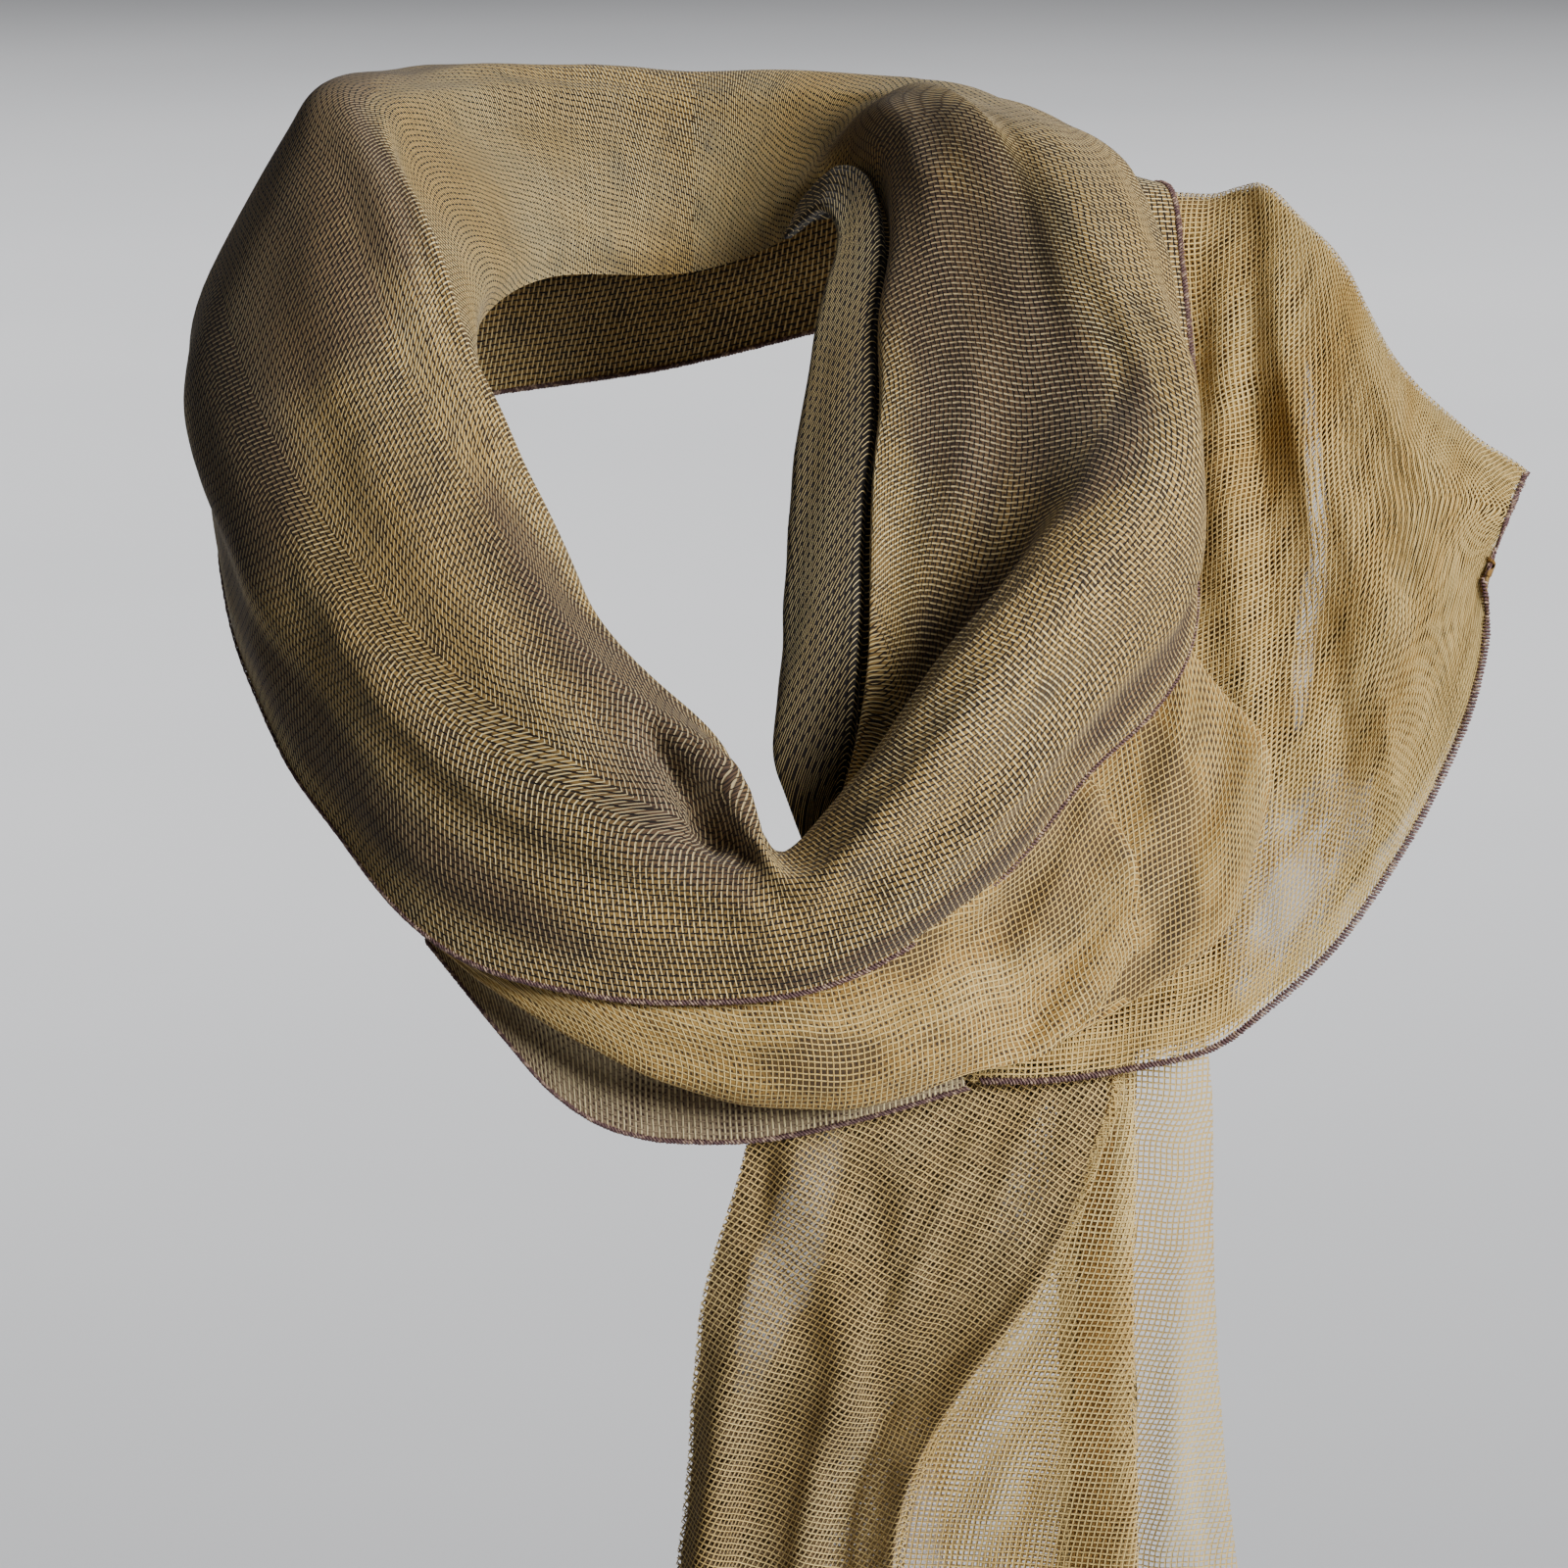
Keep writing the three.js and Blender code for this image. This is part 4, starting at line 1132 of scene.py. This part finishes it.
LAYERS = []
for name, outer, back, first, last, material, seed in (
    ("shoulder_end_second", "shoulder_end", -0.9, (0, 0), (0.996, 0.995), "end_second_gauze", 31),
    ("shoulder_end_third", "shoulder_end", -1.8, (0, 0), (0.992, 0.985), "end_third_gauze", 33),
    ("tail_left_second", "tail_left", 0.9, (0, 0), (1, 0.76), "tail_second_gauze", 35),
    ("tail_left_third", "tail_left", 1.8, (0, 0.01), (1, 0.74), "tail_third_gauze", 37),
    ("tail_right_second", "tail_right", 0.9, (0, 0), (1, 0.80), "right_second_gauze", 39),
    ("tail_right_pleat", "tail_right", 0.45, (0, 0.250), (1, 0.277), "pleat_gauze", 41),
):
    piece, _, grid = SHEETS[outer]
    layer, size = inner_layer(name, grid, back, first, last, seed, hem_last=outer == "shoulder_end")
    LAYERS.append((layer, size, material, piece))

# %% [markdown]
# Every stretch gets its material and hangs from the root with its overlocked edges, which get the
# thread, and takes the place of its solid, which is hidden.

# %% Materials and places of the sheets
def declare(piece, material, nodes, hems=()):
    piece.data.materials.clear()
    piece.data.materials.append(bpy.data.materials[material])
    for hem in hems:
        hem.data.materials.append(thread_paint.material)
        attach(hem, "root")
    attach(piece, "root")
    if nodes:
        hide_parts(*nodes)


for name, material, slot, nodes, hems in (
    ("cowl", "cowl_gauze", "dark_weave", ("front_roll", "shoulder_roll", "back_roll"), (cowl_hem,)),
    ("inner_turn", "inner_turn_gauze", "deep_weave", ("neck_strand",), ()),
    ("gold_fold", "gold_gauze", "gold_weave", ("gold_swag",), ()),
    ("second_gold_fold", "second_gold_gauze", "gold_weave", ("second_fold",), ()),
    ("grey_layer", "grey_gauze", "grey_weave", ("under_layer",), (under_hem,)),
    ("shoulder_end", "end_gauze", "gold_weave", ("shoulder_veil",), (veil_hem,)),
    ("tail_left", "tail_gauze", "gold_weave", ("tail_front",), ()),
    ("tail_right", "right_gauze", "gold_weave", ("tail_back",), ()),
):
    piece, size, _ = SHEETS[name]
    declare(piece, material, nodes, hems)
for piece, size, material, outer in LAYERS:
    declare(piece, material, ())
